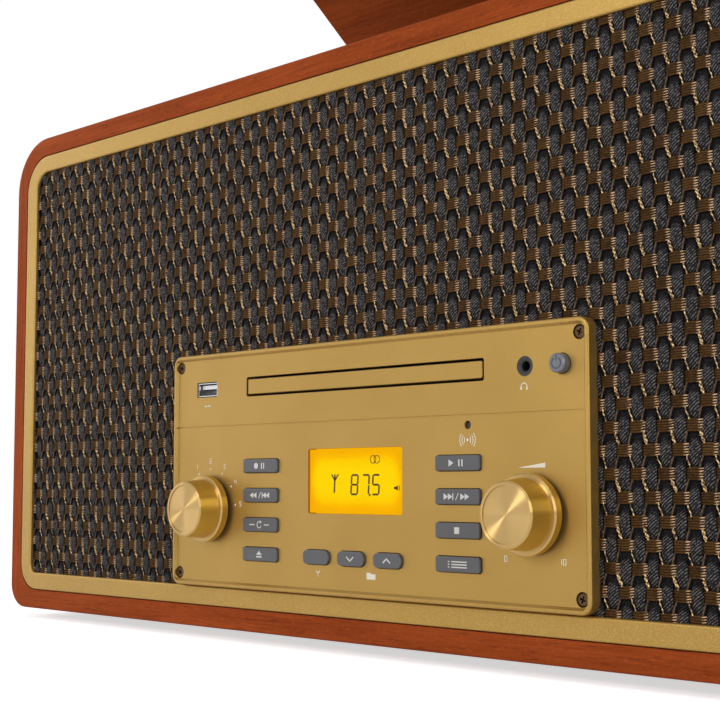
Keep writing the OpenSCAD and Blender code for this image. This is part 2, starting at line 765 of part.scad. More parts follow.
// Button cap with a rounded edge, its stop flange behind the panel and its plunger
module button(px, pz, w, h, r) {
    z = panel_z + pz;
    y = y_panel + panel_proud + 0.1;
    color("dimgray") {
        bevel_slab(px - w / 2, z - h / 2, px + w / 2, z + h / 2, r, y_panel - button_proud, y + 0.1, 0.5);
        slab(y, y + 1) round_rect(px - w / 2 - 0.9, z - h / 2 - 0.9, px + w / 2 + 0.9, z + h / 2 + 0.9, r, r);
        rod_y(px, y + 0.9, y + 4, z, 1.4, $fn = 32);
    }
}

module row_button(x, row) {
    button(x, button_z[row], button_w, button_h, 1.2);
}

module pill_button(i) {
    button(pill_x[i], button_z[3], pill_w, pill_h, pill_h / 2);
}

// Electronics

module main_board() {
    z = in_z0 + 8;
    color("darkgreen") block(-60, y_back - 150, z, 90, y_back - 40, z + 1.6);
    color("silver") for (x = [-54, 84], y = [y_back - 144, y_back - 46])
        translate([x, y, in_z0]) cylinder(r = 3, h = 8);
    color("#333333") {
        for (i = [0:4]) block(-30 + i * 7, y_back - 70, z + 1.5, -27 + i * 7, y_back - 50, z + 26);
        block(-32, y_back - 73, z + 1.5, 3, y_back - 70, z + 26);
        for (i = [0:2]) translate([30 + i * 18, y_back - 60, z + 1.5]) cylinder(r = 7, h = 22);
        block(-20, y_back - 130, z + 1.5, 6, y_back - 104, z + 4);
    }
}

module power_transformer() {
    x = -in_x + 70;
    y = y_back - 75;
    color("gray") {
        difference() {
            block(x - 30, y - 14, in_z0, x + 30, y + 14, in_z0 + 50);
            block(x - 20, y - 15, in_z0 + 10, x + 20, y + 15, in_z0 + 40);
        }
        block(x - 38, y - 12, in_z0, x + 38, y + 12, in_z0 + 2);
    }
    color("darkorange") difference() {
        block(x - 19, y - 24, in_z0 + 10.5, x + 19, y + 24, in_z0 + 39.5);
        for (s = [-1, 1]) block(x + s * 14 - 2, y - 25, in_z0 + 5, x + s * 14 + 2, y + 25, in_z0 + 13);
    }
}

// Plate at the back with the mains inlet and two line sockets. The inlet's two pins stand at its bottom.
module rear_sockets() {
    inlet_x = socket_x + 24;
    line_x = [socket_x - 25, socket_x - 3];
    color("#202020") difference() {
        union() {
            block(socket_x - 50, y_rear, socket_z - 19, socket_x + 50, y_rear + 2, socket_z + 19);
            block(inlet_x - 16, y_back - 12, socket_z - 10, inlet_x + 16, y_rear + 0.5, socket_z + 10);
            for (x = line_x) {
                rod_y(x, y_back - 6, y_rear + 0.5, socket_z, 6);
                rod_y(x, y_rear + 0.4, y_rear + rear_over - 0.3, socket_z, 4.15);
            }
        }
        slab(y_back - 4, y_rear + 3)
            round_rect(inlet_x - 11, socket_z - 5, inlet_x + 11, socket_z + 5, 4.9, 4.9);
        for (s = [-1, 1]) rod_y(socket_x + s * 43, y_rear - 1, y_rear + 3, socket_z, 1.7, $fn = 24);
        for (x = line_x) rod_y(x, y_back - 4, y_rear + 10, socket_z, 1.6, $fn = 32);
    }
    color("silver") for (s = [-1, 1])
        rod_y(inlet_x + s * 4.3, y_back - 5, y_back + 4, socket_z, 1.2, $fn = 24);
}

// Lid and hinges

// Knuckle i of a hinge, counted from its left end
knuckles = 5;
knuckle_gap = 0.3;
leaf_t = 1.4;
pin_r = 1.2;

module knuckle(x, i) {
    step = hinge_w / knuckles;
    x0 = x - hinge_w / 2 + i * step + (i == 0 ? 0 : knuckle_gap / 2);
    x1 = x - hinge_w / 2 + (i + 1) * step - (i == knuckles - 1 ? 0 : knuckle_gap / 2);
    difference() {
        union() {
            rod_x(x0, x1, y_hinge, z_hinge, hinge_r, $fn = 32);
            children();
        }
        rod_x(x0 - 1, x1 + 1, y_hinge, z_hinge, pin_r + run_gap, $fn = 32);
    }
}

// Flat leaf of a hinge with its screw holes, from z0 to z1 on the wood's rear face
module hinge_leaf(x, z0, z1) {
    difference() {
        block(x - hinge_w / 2, y_rear + 0.05, z0, x + hinge_w / 2, y_rear + 0.05 + leaf_t, z1);
        for (s = [-1, 0, 1]) rod_y(x + s * hinge_w / 3, y_rear - 1, y_rear + 3, (z0 + z1) / 2, 1.5, $fn = 24);
    }
}

module hinge_leaves() {
    step = hinge_w / knuckles;
    color("silver") for (s = [-1, 1]) {
        x = s * hinge_x;
        hinge_leaf(x, z_hinge - 17, z_hinge - hinge_r - 0.4);
        for (i = [0:2:knuckles - 1]) knuckle(x, i) {
            x0 = x - hinge_w / 2 + i * step + (i == 0 ? 0 : knuckle_gap / 2);
            x1 = x - hinge_w / 2 + (i + 1) * step - (i == knuckles - 1 ? 0 : knuckle_gap / 2);
            block(x0, y_rear + 0.05, z_hinge - hinge_r - 0.6, x1, y_rear + 0.05 + leaf_t, z_hinge);
        }
        rod_x(x - hinge_w / 2 + 0.1, x + hinge_w / 2 - 0.1, y_hinge, z_hinge, pin_r, $fn = 32);
    }
}

module opened() {
    translate([0, y_hinge, z_hinge]) rotate([-lid_open, 0, 0]) translate([0, -y_hinge, -z_hinge]) children();
}

module lid_hinge_leaves() {
    step = hinge_w / knuckles;
    color("silver") opened() for (s = [-1, 1]) {
        x = s * hinge_x;
        hinge_leaf(x, z_hinge + hinge_r + 0.4, z_top - 0.2);
        for (i = [1:2:knuckles - 2]) knuckle(x, i)
            block(x - hinge_w / 2 + i * step + knuckle_gap / 2, y_rear + 0.05, z_hinge,
                x - hinge_w / 2 + (i + 1) * step - knuckle_gap / 2, y_rear + 0.05 + leaf_t,
                z_hinge + hinge_r + 0.6);
    }
}

// Lid: veneered board with a finger notch in its front edge and an eased top edge
module lid() {
    e = 1;
    x = lid_w / 2;
    color("sienna") opened() difference() {
        union() {
            block(-x, lid_y0, z_hinge + 0.05, x, y_rear, z_top - e);
            block(-x + e, lid_y0 + e, z_top - 2, x - e, y_rear, z_top);
            rod_x(-x + e, x - e, lid_y0 + e, z_top - e, e, $fn = 24);
            for (s = [-1, 1]) {
                rod_y(s * (x - e), lid_y0 + e, y_rear, z_top - e, e, $fn = 24);
                translate([s * (x - e), lid_y0 + e, z_top - e]) sphere(e, $fn = 24);
            }
        }
        translate([0, lid_y0, z_hinge - 1]) cylinder(r = notch_r, h = lid_t + 2);
    }
}

// Turntable

// Rounded rectangle in the XY plane
module flat_rect(x0, y0, x1, y1, r, z0, z1) {
    translate([0, 0, z0]) linear_extrude(z1 - z0) round_rect(x0, y0, x1, y1, r, r);
}

adapter_x = -well_x + 25;
adapter_y = well_y0 + 24;
adapter_r = 19;
speed_x = pivot_x + 34;
speed_y = well_y0 + 40;
speed_travel = 12;

module turntable_deck() {
    rim_x = lid_w / 2 + rim_under;
    color("#262626") difference() {
        union() {
            block(-rim_x, deck_y0, z_rim - rim_t, rim_x, deck_y1, z_rim);
            flat_rect(-well_x - deck_wall, well_y0 - deck_wall, well_x + deck_wall, well_y1 + deck_wall,
                well_r + deck_wall, z_floor - floor_t, z_rim - 1);
            rod_z(platter_x, platter_y, z_floor - 12, z_floor, 16);
        }
        flat_rect(-well_x, well_y0, well_x, well_y1, well_r, z_floor, z_rim + 1);
        rod_z(platter_x, platter_y, z_floor - dish, z_floor + 1, platter_r + 2.5, $fn = 128);
        rod_z(platter_x, platter_y, z_floor - 40, z_floor + 1, 8 + run_gap);
        rod_z(pulley_x, pulley_y, z_floor - 10, z_floor + 1, 8);
        rod_z(adapter_x, adapter_y, z_floor - 2, z_floor + 1, adapter_r + 0.4);
        rod_z(pivot_x, pivot_y, z_floor - 10, z_floor + 1, 6 + run_gap);
        block(speed_x - 2.5, speed_y - 3, z_floor - 10, speed_x + 2.5, speed_y + speed_travel + 3,
            z_floor + 1);
    }
}

module spindle_bearing() {
    color("#b08d3c") difference() {
        union() {
            rod_z(platter_x, platter_y, z_floor - 24, z_floor - dish, 8);
            rod_z(platter_x, platter_y, z_floor - 24, z_floor - 12 - run_gap, 11);
        }
        rod_z(platter_x, platter_y, z_floor - 22, z_floor + 1, shaft_r + run_gap);
    }
}

// Platter: top plate, outer skirt, belt track and hub
module platter() {
    z1 = platter_z + platter_h;
    color("silver") translate([platter_x, platter_y, 0]) difference() {
        union() {
            translate([0, 0, platter_z]) cylinder(r = platter_r, h = platter_h - 1, $fn = 128);
            translate([0, 0, z1 - 1]) cylinder(r1 = platter_r, r2 = platter_r - 1, h = 1, $fn = 128);
        }
        translate([0, 0, platter_z - 1]) difference() {
            cylinder(r = platter_r - 3, h = platter_h - 2, $fn = 128);
            translate([0, 0, 2]) cylinder(r = track_r, h = platter_h, $fn = 128);
        }
        translate([0, 0, platter_z - 1]) difference() {
            cylinder(r = track_r - 3, h = platter_h - 2, $fn = 128);
            translate([0, 0, 2]) cylinder(r = 14, h = platter_h);
        }
        translate([0, 0, platter_z - 1]) cylinder(r = shaft_r + 0.02, h = platter_h + 5);
        // grooves turned in the rim
        for (i = [0:2]) translate([0, 0, platter_z + 3 + i * 3.2]) difference() {
            cylinder(r = platter_r + 1, h = 1, $fn = 128);
            translate([0, 0, -1]) cylinder(r = platter_r - 0.6, h = 3, $fn = 128);
        }
    }
}

module slip_mat() {
    color("#181818") translate([platter_x, platter_y, mat_z]) difference() {
        cylinder(r = platter_r - 2, h = mat_t, $fn = 128);
        translate([0, 0, -1]) cylinder(r = shaft_r + 0.1, h = mat_t + 2);
        for (r = [50:15:125]) translate([0, 0, mat_t - 0.6]) difference() {
            cylinder(r = r + 2, h = 1);
            translate([0, 0, -1]) cylinder(r = r, h = 3);
        }
        translate([0, 0, mat_t - 1.2]) cylinder(r = 50, h = 2);
    }
}

module record_spindle() {
    z1 = mat_z + mat_t + 12;
    color("silver") translate([platter_x, platter_y, 0]) {
        translate([0, 0, z_floor - 21.5]) cylinder(r = shaft_r, h = mat_z + mat_t - z_floor + 21.5);
        translate([0, 0, mat_z + mat_t - 0.1]) cylinder(r = spindle_r, h = 10.6);
        translate([0, 0, z1 - 1.5]) cylinder(r1 = spindle_r, r2 = 1.6, h = 1.5);
    }
}

module drive_motor() {
    color("silver") difference() {
        union() {
            rod_z(pulley_x, pulley_y, z_floor - floor_t - 30, z_floor - floor_t - 2, 18);
            rod_z(pulley_x, pulley_y, z_floor - floor_t - 2.5, z_floor - floor_t, 24);
            rod_z(pulley_x, pulley_y, z_floor - floor_t - 1, z_floor - 1, 5);
        }
        rod_z(pulley_x, pulley_y, z_floor - floor_t - 26, z_floor + 5, 1 + run_gap, $fn = 24);
    }
}

module motor_pulley() {
    color("#b08d3c") {
        rod_z(pulley_x, pulley_y, z_floor + 1.5, z_floor + 3, pulley_r + 1.2, $fn = 48);
        rod_z(pulley_x, pulley_y, z_floor + 2.9, z_floor + 9.6, pulley_r, $fn = 48);
        rod_z(pulley_x, pulley_y, z_floor + 9.5, z_floor + 11, pulley_r + 1.2, $fn = 48);
        rod_z(pulley_x, pulley_y, z_floor - floor_t - 25, z_floor + 2, 1, $fn = 24);
    }
}

// Outline of the belt's run round track and pulley, drawn along +X from the platter's middle
function belt_run(grow, big, small, a) = concat(
    [for (i = [0:72]) let (t = a + (360 - 2 * a) * i / 72) (big + grow) * [cos(t), sin(t)]],
    [for (i = [0:16]) let (t = -a + 2 * a * i / 16) [pulley_d, 0] + (small + grow) * [cos(t), sin(t)]]);

module drive_belt() {
    a = acos((track_r - pulley_r) / pulley_d);
    color("black") translate([platter_x, platter_y, z_floor + 3.6]) rotate([0, 0, pulley_a])
        linear_extrude(belt_w) difference() {
            polygon(belt_run(0.1 + belt_t, track_r, pulley_r, a));
            polygon(belt_run(0.1, track_r, pulley_r, a));
        }
}

// Tonearm. It is drawn with its pivot at the origin, pointing to -Y.

module at_pivot() {
    translate([pivot_x, pivot_y, 0]) children();
}

lift_x = 13;

module tonearm_base() {
    color("#303030") at_pivot() {
        difference() {
            union() {
                translate([0, 0, z_floor]) cylinder(r = 19, h = 4);
                translate([0, 0, z_floor + 4]) cylinder(r1 = 17, r2 = 13, h = 4);
                translate([0, 0, z_floor - 6]) cylinder(r = 6, h = 8);
            }
            translate([0, 0, z_floor - 7]) cylinder(r = 3 + run_gap, h = 20);
        }
        // lift platform beside the pivot and the ears of the cue lever
        block(-7, -19, z_floor + 2, 7, -14.5, arm_z - 6);
        for (x = [23, 31]) difference() {
            block(x, -14, z_floor, x + 3, -4, z_floor + 16);
            rod_x(x - 1, x + 4, -9, z_floor + 11, 1.5 + run_gap, $fn = 32);
        }
        block(15, -14, z_floor, 34, -4, z_floor + 3);
    }
}

module arm_yoke() {
    z = z_floor + 8.3;
    color("silver") at_pivot() {
        translate([0, 0, z_floor - 5]) cylinder(r = 3, h = 15);
        translate([0, 0, z]) cylinder(r = 11, h = 3);
        for (s = [-1, 1]) difference() {
            block(min(s * 7, s * 10), -5, z + 2, max(s * 7, s * 10), 5, arm_z + 5);
            rod_x(min(s * 7, s * 10) - 1, max(s * 7, s * 10) + 1, 0, arm_z, 1.5 + run_gap, $fn = 32);
        }
    }
}

shell_y = -arm_l + 26;

module tonearm_tube() {
    color("silver") at_pivot() {
        translate([0, 0, arm_z]) rotate([0, 90, 0]) translate([0, 0, -9.8])
            cylinder(r = 1.5, h = 19.6, $fn = 32);
        rod_y(0, -9, 9, arm_z, 5.5);
        rod_y(0, shell_y + 4, -8.9, arm_z, 3);
        rod_y(0, 8.9, 44, arm_z, 2.6);
        rod_y(0, shell_y + 4, shell_y + 14, arm_z, 4);
        // finger-wide collar that meets the headshell
        translate([0, shell_y + 4, arm_z]) sphere(4, $fn = 32);
    }
}

module counterweight() {
    color("silver") at_pivot() difference() {
        union() {
            rod_y(0, 20, 36, arm_z, 9.5);
            rod_y(0, 17.5, 20.1, arm_z, 7.5);
        }
        rod_y(0, 17, 37, arm_z, 2.6 + run_gap);
    }
}

// Everything in front of the collar is turned by the offset angle
module at_shell() {
    at_pivot() translate([0, shell_y, arm_z]) rotate([0, 0, -shell_a]) children();
}

module headshell() {
    color("#202020") at_shell() {
        difference() {
            block(-8.5, -34, -2.4, 8.5, -3.2, -0.4);
            for (s = [-1, 1], y = [-16, -24]) translate([s * 5.5, y, -4])
                cylinder(r = 1.2, h = 6, $fn = 24);
        }
        difference() {
            block(-3.5, -8, -2.2, 3.5, -0.6, 2.2);
            translate([0, 4, 0]) sphere(4.1, $fn = 32);
        }
        // finger lift
        block(8.4, -26, -2.4, 15, -21, -1.4);
    }
}

module cartridge() {
    color("#303030") at_shell() {
        block(-7, -31, -8, 7, -10, -2.5);
        block(-2.5, -29, -9, 2.5, -14, -7.9);
    }
    color("white") at_shell() translate([0, -26, -9.6]) cylinder(r1 = 0.3, r2 = 0.9, h = 0.8, $fn = 24);
}

rest_l = 120;

// Cradle for the parked arm: its inner side stays below the raised tube, so the arm can swing out
module arm_rest() {
    w = 5.4;
    color("#303030") at_pivot() translate([0, -rest_l, 0]) {
        translate([0, 0, z_floor]) cylinder(r = 8, h = 2.5);
        translate([0, 0, z_floor + 2]) cylinder(r = 3, h = arm_z - z_floor - 11);
        block(-w, -3, arm_z - 9.5, w, 3, arm_z - 6.6);
        block(-w, -3, arm_z - 7, -w + 2, 3, arm_z - 4);
        block(w - 2, -3, arm_z - 7, w, 3, arm_z + 4);
    }
}

module cue_lever() {
    color("silver") at_pivot() translate([30, -9, z_floor + 11]) rotate([-40, 0, 0]) {
        rod_x(-6.8, 3.8, 0, 0, 1.5, $fn = 32);
        block(-2.6, -26, -1.2, -0.4, 1.5, 1.2);
        rod_x(-3.4, 0.4, -26, 0, 2.6, $fn = 32);
    }
}

module speed_lever() {
    color("silver") {
        block(speed_x - 2, speed_y - 2, z_floor - floor_t - 1, speed_x + 2, speed_y + 2, z_floor + 4);
        translate([speed_x, speed_y, z_floor + 0.4]) cylinder(r1 = 5, r2 = 4, h = 7);
        block(speed_x - 4.5, speed_y - 4, z_floor - floor_t - 2.2, speed_x + 4.5, speed_y + 4,
            z_floor - floor_t - 0.4);
    }
}

module record_adapter() {
    color("gray") translate([adapter_x, adapter_y, z_floor - 2]) difference() {
        union() {
            cylinder(r = adapter_r, h = 6);
            translate([0, 0, 6]) cylinder(r1 = adapter_r, r2 = adapter_r - 3, h = 2);
        }
        translate([0, 0, -1]) cylinder(r = spindle_r + 0.1, h = 12);
        translate([0, 0, 5.5]) difference() {
            cylinder(r = 13, h = 4);
            translate([0, 0, -1]) cylinder(r = 8, h = 6);
        }
    }
}

cabinet_shell();
back_panel();
back_screws();
feet();
trim_frame();
baffle_board();
grille_cloth();
speaker_frames();
speaker_cones();
control_panel();
panel_screws();
display_window();
display_module();
usb_socket();
aux_socket();
status_led();
selector_switch();
volume_control();
key_board();
disc_loader();
main_board();
power_transformer();
rear_sockets();
hinge_leaves();
turntable_deck();
spindle_bearing();
drive_motor();
drive_belt();
tonearm_base();
arm_rest();
record_adapter();
lid();
lid_hinge_leaves();
platter();
slip_mat();
record_spindle();
motor_pulley();
arm_yoke();
tonearm_tube();
counterweight();
headshell();
cartridge();
cue_lever();
speed_lever();
disc_tray();
tray_front();
function_knob();
volume_knob();
power_button();
row_button(left_x, 0);  // record_button
row_button(left_x, 1);  // skip_back_button
row_button(left_x, 2);  // repeat_button
row_button(left_x, 3);  // eject_button
row_button(right_x, 0);  // play_button
row_button(right_x, 1);  // skip_forward_button
row_button(right_x, 2);  // stop_button
row_button(right_x, 3);  // program_button
pill_button(0);  // band_button
pill_button(1);  // folder_down_button
pill_button(2);  // folder_up_button
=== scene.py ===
# %% [markdown]
# # Stereo music centre
# A tabletop music centre: a veneered wooden cabinet with a record player under its lid, and a gold
# panel with a disc tray, a lit display, two knobs and push buttons in a woven cloth front. The rigid
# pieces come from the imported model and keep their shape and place. This lesson gives them their
# finishes and adds what a solid can't hold: the weave of the cloth, the lit digits and the marks.

# %% Load the fixed frame
import math
import random

import bmesh
import bpy
import numpy as np
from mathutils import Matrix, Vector


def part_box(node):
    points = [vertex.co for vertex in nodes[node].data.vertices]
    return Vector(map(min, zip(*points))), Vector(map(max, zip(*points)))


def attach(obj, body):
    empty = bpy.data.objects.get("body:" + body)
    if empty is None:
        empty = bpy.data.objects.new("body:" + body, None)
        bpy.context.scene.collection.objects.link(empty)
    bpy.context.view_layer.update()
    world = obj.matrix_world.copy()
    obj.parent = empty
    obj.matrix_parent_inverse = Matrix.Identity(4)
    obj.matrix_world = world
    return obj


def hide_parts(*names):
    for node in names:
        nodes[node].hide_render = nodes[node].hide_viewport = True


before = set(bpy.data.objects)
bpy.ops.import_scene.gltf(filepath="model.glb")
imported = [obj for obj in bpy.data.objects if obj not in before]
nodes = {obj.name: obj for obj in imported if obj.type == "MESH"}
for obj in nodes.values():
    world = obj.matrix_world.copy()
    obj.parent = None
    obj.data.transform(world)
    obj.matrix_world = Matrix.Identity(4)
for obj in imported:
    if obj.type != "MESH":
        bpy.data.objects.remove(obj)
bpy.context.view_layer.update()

random.seed(7)
MM = 0.001

# %% [markdown]
# ## Where things are
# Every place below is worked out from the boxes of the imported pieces, so a changed cabinet keeps its
# marks and its cloth in the right place. The panel's middle is X = 0. Its rim stands a little in front
# of its face, and the face is the plane that the camera and the marks are measured from.

# %% Places taken from the frame
panel_low, panel_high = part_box("control_panel")
cabinet_low, cabinet_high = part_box("cabinet_shell")
cloth_low, cloth_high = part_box("grille_cloth")
RIM = 1.1 * MM  # how far the panel's raised rim stands in front of its face
FACE_Y = panel_low.y + RIM
PANEL_Z = panel_low.z
CABINET_Z = cabinet_low.z


def front_middle(node):
    """The middle of a piece's front side."""
    low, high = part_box(node)
    return Vector(((low.x + high.x) / 2, low.y, (low.z + high.z) / 2))


print("panel face y", round(FACE_Y, 4), "bottom z", round(PANEL_Z, 4))

# %% [markdown]
# ## Camera
# The photograph was taken from close by, low down and from the right, looking up a little. A long
# lens at that distance keeps the panel large and lets the cabinet run out of the frame on the right.
# Its numbers are real distances from the panel's face and the cabinet's bottom, so it keeps its
# view of them if the object's place in the frame changes.

# %% Camera
LENS_MM = 72.16
SENSOR_MM = 36
TILT_UP, TURN_LEFT = 4.6, 45.5  # degrees from level and from straight ahead


def put_in_scene(name, data):
    made = bpy.data.objects.new(name, data)
    bpy.context.scene.collection.objects.link(made)
    return made


camera_data = bpy.data.cameras.new("camera")
camera_data.sensor_width = SENSOR_MM
camera_data.lens = LENS_MM
camera_data.shift_x = 0.001
camera_data.shift_y = 0.0128
camera_data.clip_start = 0.01
camera = put_in_scene("camera", camera_data)
camera.location = (0.4039, FACE_Y - 0.3936, CABINET_Z + 0.0614)
camera.rotation_euler = (math.radians(90 + TILT_UP), 0, math.radians(TURN_LEFT))
bpy.context.scene.camera = camera
print("camera at", [round(v, 3) for v in camera.location])

# %% [markdown]
# ## Nodes for finishes
# A finish is a small network: a pattern drives the colour, the roughness and a little relief of one
# Principled surface. Pictures of wood or cloth could be wrapped round the pieces instead, but they
# need a flat layout of each and go soft from close by. The helpers keep each network short. Numbers
# that are the same everywhere are set on the surface itself, and only what varies is linked.


# %% Helpers for materials
class Finish:
    """A material under construction: its node tree and its Principled surface."""

    def __init__(self, name, roughness=0.5, metallic=0.0, specular=0.5):
        self.material = bpy.data.materials.new(name)
        self.material.use_nodes = True
        self.tree = self.material.node_tree
        self.surface = self.tree.nodes["Principled BSDF"]
        self.set("Roughness", roughness)
        self.set("Metallic", metallic)
        self.set("Specular IOR Level", specular)

    def set(self, socket, value):
        self.surface.inputs[socket].default_value = value

    def link(self, value, socket):
        self.tree.links.new(value, self.surface.inputs[socket])

    def feed(self, socket, value):
        """Links what another node gives, or writes down a plain number, place or colour."""
        if isinstance(value, bpy.types.NodeSocket):
            self.tree.links.new(value, socket)
        else:
            socket.default_value = value

    def node(self, kind, **inputs):
        """A new node. Its inputs go by name, or by number after an underscore."""
        made = self.tree.nodes.new("ShaderNode" + kind)
        for key, value in inputs.items():
            by_number = key[1:].isdigit()
            self.feed(made.inputs[int(key[1:]) if by_number else key.replace("_", " ")], value)
        return made

    def place(self, scale=(1, 1, 1)):
        """The place on the object, in metres, stretched by scale."""
        spot = self.node("TexCoord").outputs["Object"]
        return self.node("Mapping", Vector=spot, Scale=scale).outputs[0]

    def noise(self, place, scale, detail=4.0, rough=0.5):
        made = self.node("TexNoise", Vector=place, Scale=scale, Detail=detail, Roughness=rough)
        return made.outputs["Fac"]

    def math(self, operation, a, b=0.0):
        made = self.node("Math", _0=a, _1=b)
        made.operation = operation
        return made.outputs[0]

    def spread(self, value, low, high, to_low=0.0, to_high=1.0):
        """Stretches what lies between low and high to the range to_low to to_high, cut off outside."""
        made = self.node("MapRange", Value=value, From_Min=low, From_Max=high)
        self.feed(made.inputs["To Min"], to_low)
        self.feed(made.inputs["To Max"], to_high)
        return made.outputs[0]

    def weigh(self, a, b):
        """Six tenths of one pattern and four tenths of another."""
        return self.math("ADD", self.math("MULTIPLY", a, 0.6), self.math("MULTIPLY", b, 0.4))

    def ramp(self, value, *stops):
        """A colour from a number, through stops that are each a place and a colour."""
        made = self.node("ValToRGB", Fac=value)
        colours = made.color_ramp.elements
        while len(colours) < len(stops):
            colours.new(0.5)
        for stop, (at, colour) in zip(colours, stops):
            stop.position = at
            stop.color = (*colour, 1)
        return made.outputs["Color"]

    def mix(self, factor, a, b):
        """Colour a where factor is 0, and b where it is 1."""
        made = self.tree.nodes.new("ShaderNodeMix")
        made.data_type = "RGBA"
        self.feed(made.inputs[0], factor)
        for socket, colour in ((made.inputs[6], a), (made.inputs[7], b)):
            self.feed(socket, (*colour, 1) if isinstance(colour, tuple) else colour)
        return made.outputs[2]

    def parts(self, kind, output):
        """The three numbers of a place on the object or of the direction that the surface faces."""
        return self.node("SeparateXYZ", _0=self.node(kind).outputs[output]).outputs

    def bump(self, height, strength, distance=0.0003):
        made = self.node("Bump", Height=height, Strength=strength, Distance=distance)
        self.link(made.outputs[0], "Normal")


def wear(finish, *names):
    """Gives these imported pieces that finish, in every one of their material places."""
    for name in names:
        mesh = nodes[name].data
        mesh.materials.clear()
        mesh.materials.append(finish.material)


print("material helpers ready")

# %% [markdown]
# ## Cherry veneer
# The cabinet and lid are board covered in a reddish veneer under a satin lacquer. Its figure is long
# and fine and follows the board round: across the cabinet on top, below and on the lid, up and down in
# the side walls. So each pattern is a noise squeezed hard along X, a second one squeezed along Z, and
# the place on the board decides between them. Dark pores and a slow change of tone lie over it.


# %% Veneer
def in_side_wall(finish):
    """0 where the board lies flat and 1 where it stands, with a soft change in the rounded corners."""
    half_w, half_h = (cabinet_high.x - cabinet_low.x) / 2, (cabinet_high.z - cabinet_low.z) / 2
    x, _, z = finish.parts("TexCoord", "Object")
    beside = finish.math("SUBTRACT", finish.math("ABSOLUTE", x), half_w)
    above = finish.math("ABSOLUTE", finish.math("SUBTRACT", z, CABINET_Z + half_h))
    beyond = finish.math("SUBTRACT", beside, finish.math("SUBTRACT", above, half_h))
    soft = 5 * MM
    return finish.spread(beyond, -soft, soft)


def grain(finish, upright, long, fine, scale, detail, rough=0.5, waves=0.0):
    """A noise drawn out along the board: along X where upright is 0, along Z where it is 1."""
    made = []
    for stretch in ((long, fine, fine), (fine, fine, long)):
        spot = finish.place(stretch)
        if waves:
            warp = finish.noise(finish.place(tuple(v * 0.27 for v in stretch)), 3.0, 2.0)
            shift = finish.math("MULTIPLY", warp, waves)
            spot = finish.node("VectorMath", _0=spot, _1=shift).outputs[0]
        made.append(finish.noise(spot, scale, detail, rough))
    flat = finish.math("MULTIPLY", made[0], finish.math("SUBTRACT", 1.0, upright))
    return finish.math("ADD", flat, finish.math("MULTIPLY", made[1], upright))


def veneer():
    finish = Finish("cherry_veneer", roughness=0.5, specular=0.02)
    upright = in_side_wall(finish)
    slow = grain(finish, upright, 2.2, 9, 4.0, 3.0)
    fibre = grain(finish, upright, 7, 150, 2.2, 7.0, 0.62, 5.0)
    pore = grain(finish, upright, 60, 900, 1.6, 2.0)
    fleck = finish.noise(finish.place((500, 900, 900)), 1.0, 2.0)
    colour = finish.ramp(finish.weigh(fibre, slow), (0.32, (0.205, 0.038, 0.008)),
                         (0.48, (0.290, 0.054, 0.011)), (0.64, (0.385, 0.076, 0.016)))
    pores = finish.spread(pore, 0.58, 0.72)
    colour = finish.mix(finish.math("MULTIPLY", pores, 0.5), colour, (0.11, 0.020, 0.008))
    colour = finish.mix(finish.spread(fleck, 0.55, 0.75, 0.0, 0.35), colour, (0.48, 0.105, 0.030))
    finish.link(colour, "Base Color")
    finish.link(finish.spread(fibre, 0.3, 0.7, 0.52, 0.38), "Roughness")
    finish.bump(finish.math("SUBTRACT", fibre, finish.math("MULTIPLY", pores, 0.5)), 0.12, 0.0002)
    return finish


wear(veneer(), "cabinet_shell", "lid")
print("veneer on cabinet and lid")


# %% [markdown]
# ## Gold lacquer
# Panel, trim and tray front are sprayed with a satin gold lacquer. It is a metal seen through fine
# flakes: close by it glitters in tiny specks, from a step away it is smooth. A very fine noise moves
# the tone and the gloss a little, and a slower one gives the faint cloudiness of a sprayed coat.


# %% Gold
def gold_lacquer():
    finish = Finish("gold_lacquer", roughness=0.42, metallic=0.75, specular=0.1)
    flake = finish.noise(finish.place(), 3800.0, 1.0, 0.4)
    cloud = finish.noise(finish.place(), 26.0, 3.0)
    base = finish.ramp(cloud, (0.3, (0.336, 0.202, 0.049)), (0.7, (0.374, 0.229, 0.059)))
    glitter = finish.spread(flake, 0.50, 0.72, 0, 0.6)
    finish.link(finish.mix(glitter, base, (0.56, 0.39, 0.15)), "Base Color")
    finish.link(finish.spread(flake, 0.3, 0.7, 0.48, 0.36), "Roughness")
    finish.bump(flake, 0.05, 0.00004)
    return finish


wear(gold_lacquer(), "control_panel", "trim_frame", "tray_front")
print("gold on panel, trim and tray front")

# %% [markdown]
# ## Spun brass knobs
# The knobs are turned and their faces spun, so each carries fine rings, and the light fans out over
# it in two bright wedges. Rings spread the gloss across themselves. A surface with anisotropy does
# that when its direction goes round the axis, which a radial tangent gives, and is turned by a
# quarter, so that the gloss is drawn out from the middle to the edge. Rings cut into the mesh would
# need thousands of faces. The sides look deeper than the face, because they mirror the gold panel.
# That reflection is painted: the way the surface faces decides between two tones.


# %% Knobs
QUARTER_TURN = 0.25
FINE_MARKS = 2600.0


def spun_metal(name, colour, roughness, around="Y", side=None):
    finish = Finish(name, roughness=roughness, metallic=1.0)
    finish.set("Anisotropic", 1.0)
    finish.set("Anisotropic Rotation", QUARTER_TURN)
    tangent = finish.node("Tangent")
    tangent.direction_type = "RADIAL"
    tangent.axis = around
    finish.link(tangent.outputs[0], "Tangent")
    fine = finish.noise(finish.place(), FINE_MARKS, 2.0)
    tone = finish.noise(finish.place(), 60.0, 2.0)
    dark = tuple(c * 0.93 for c in colour)
    toned = finish.ramp(tone, (0.3, dark), (0.7, colour))
    if side is not None:
        # painted reflection: faces turned sideways take the side colour, as if they mirrored the gold
        # panel
        facing = finish.parts("NewGeometry", "Normal")[1]
        toned = finish.mix(finish.spread(finish.math("ABSOLUTE", facing), 0.75, 0.35), toned, side)
    finish.link(toned, "Base Color")
    finish.link(finish.spread(fine, 0.3, 0.7, roughness + 0.02, roughness - 0.02), "Roughness")
    return finish


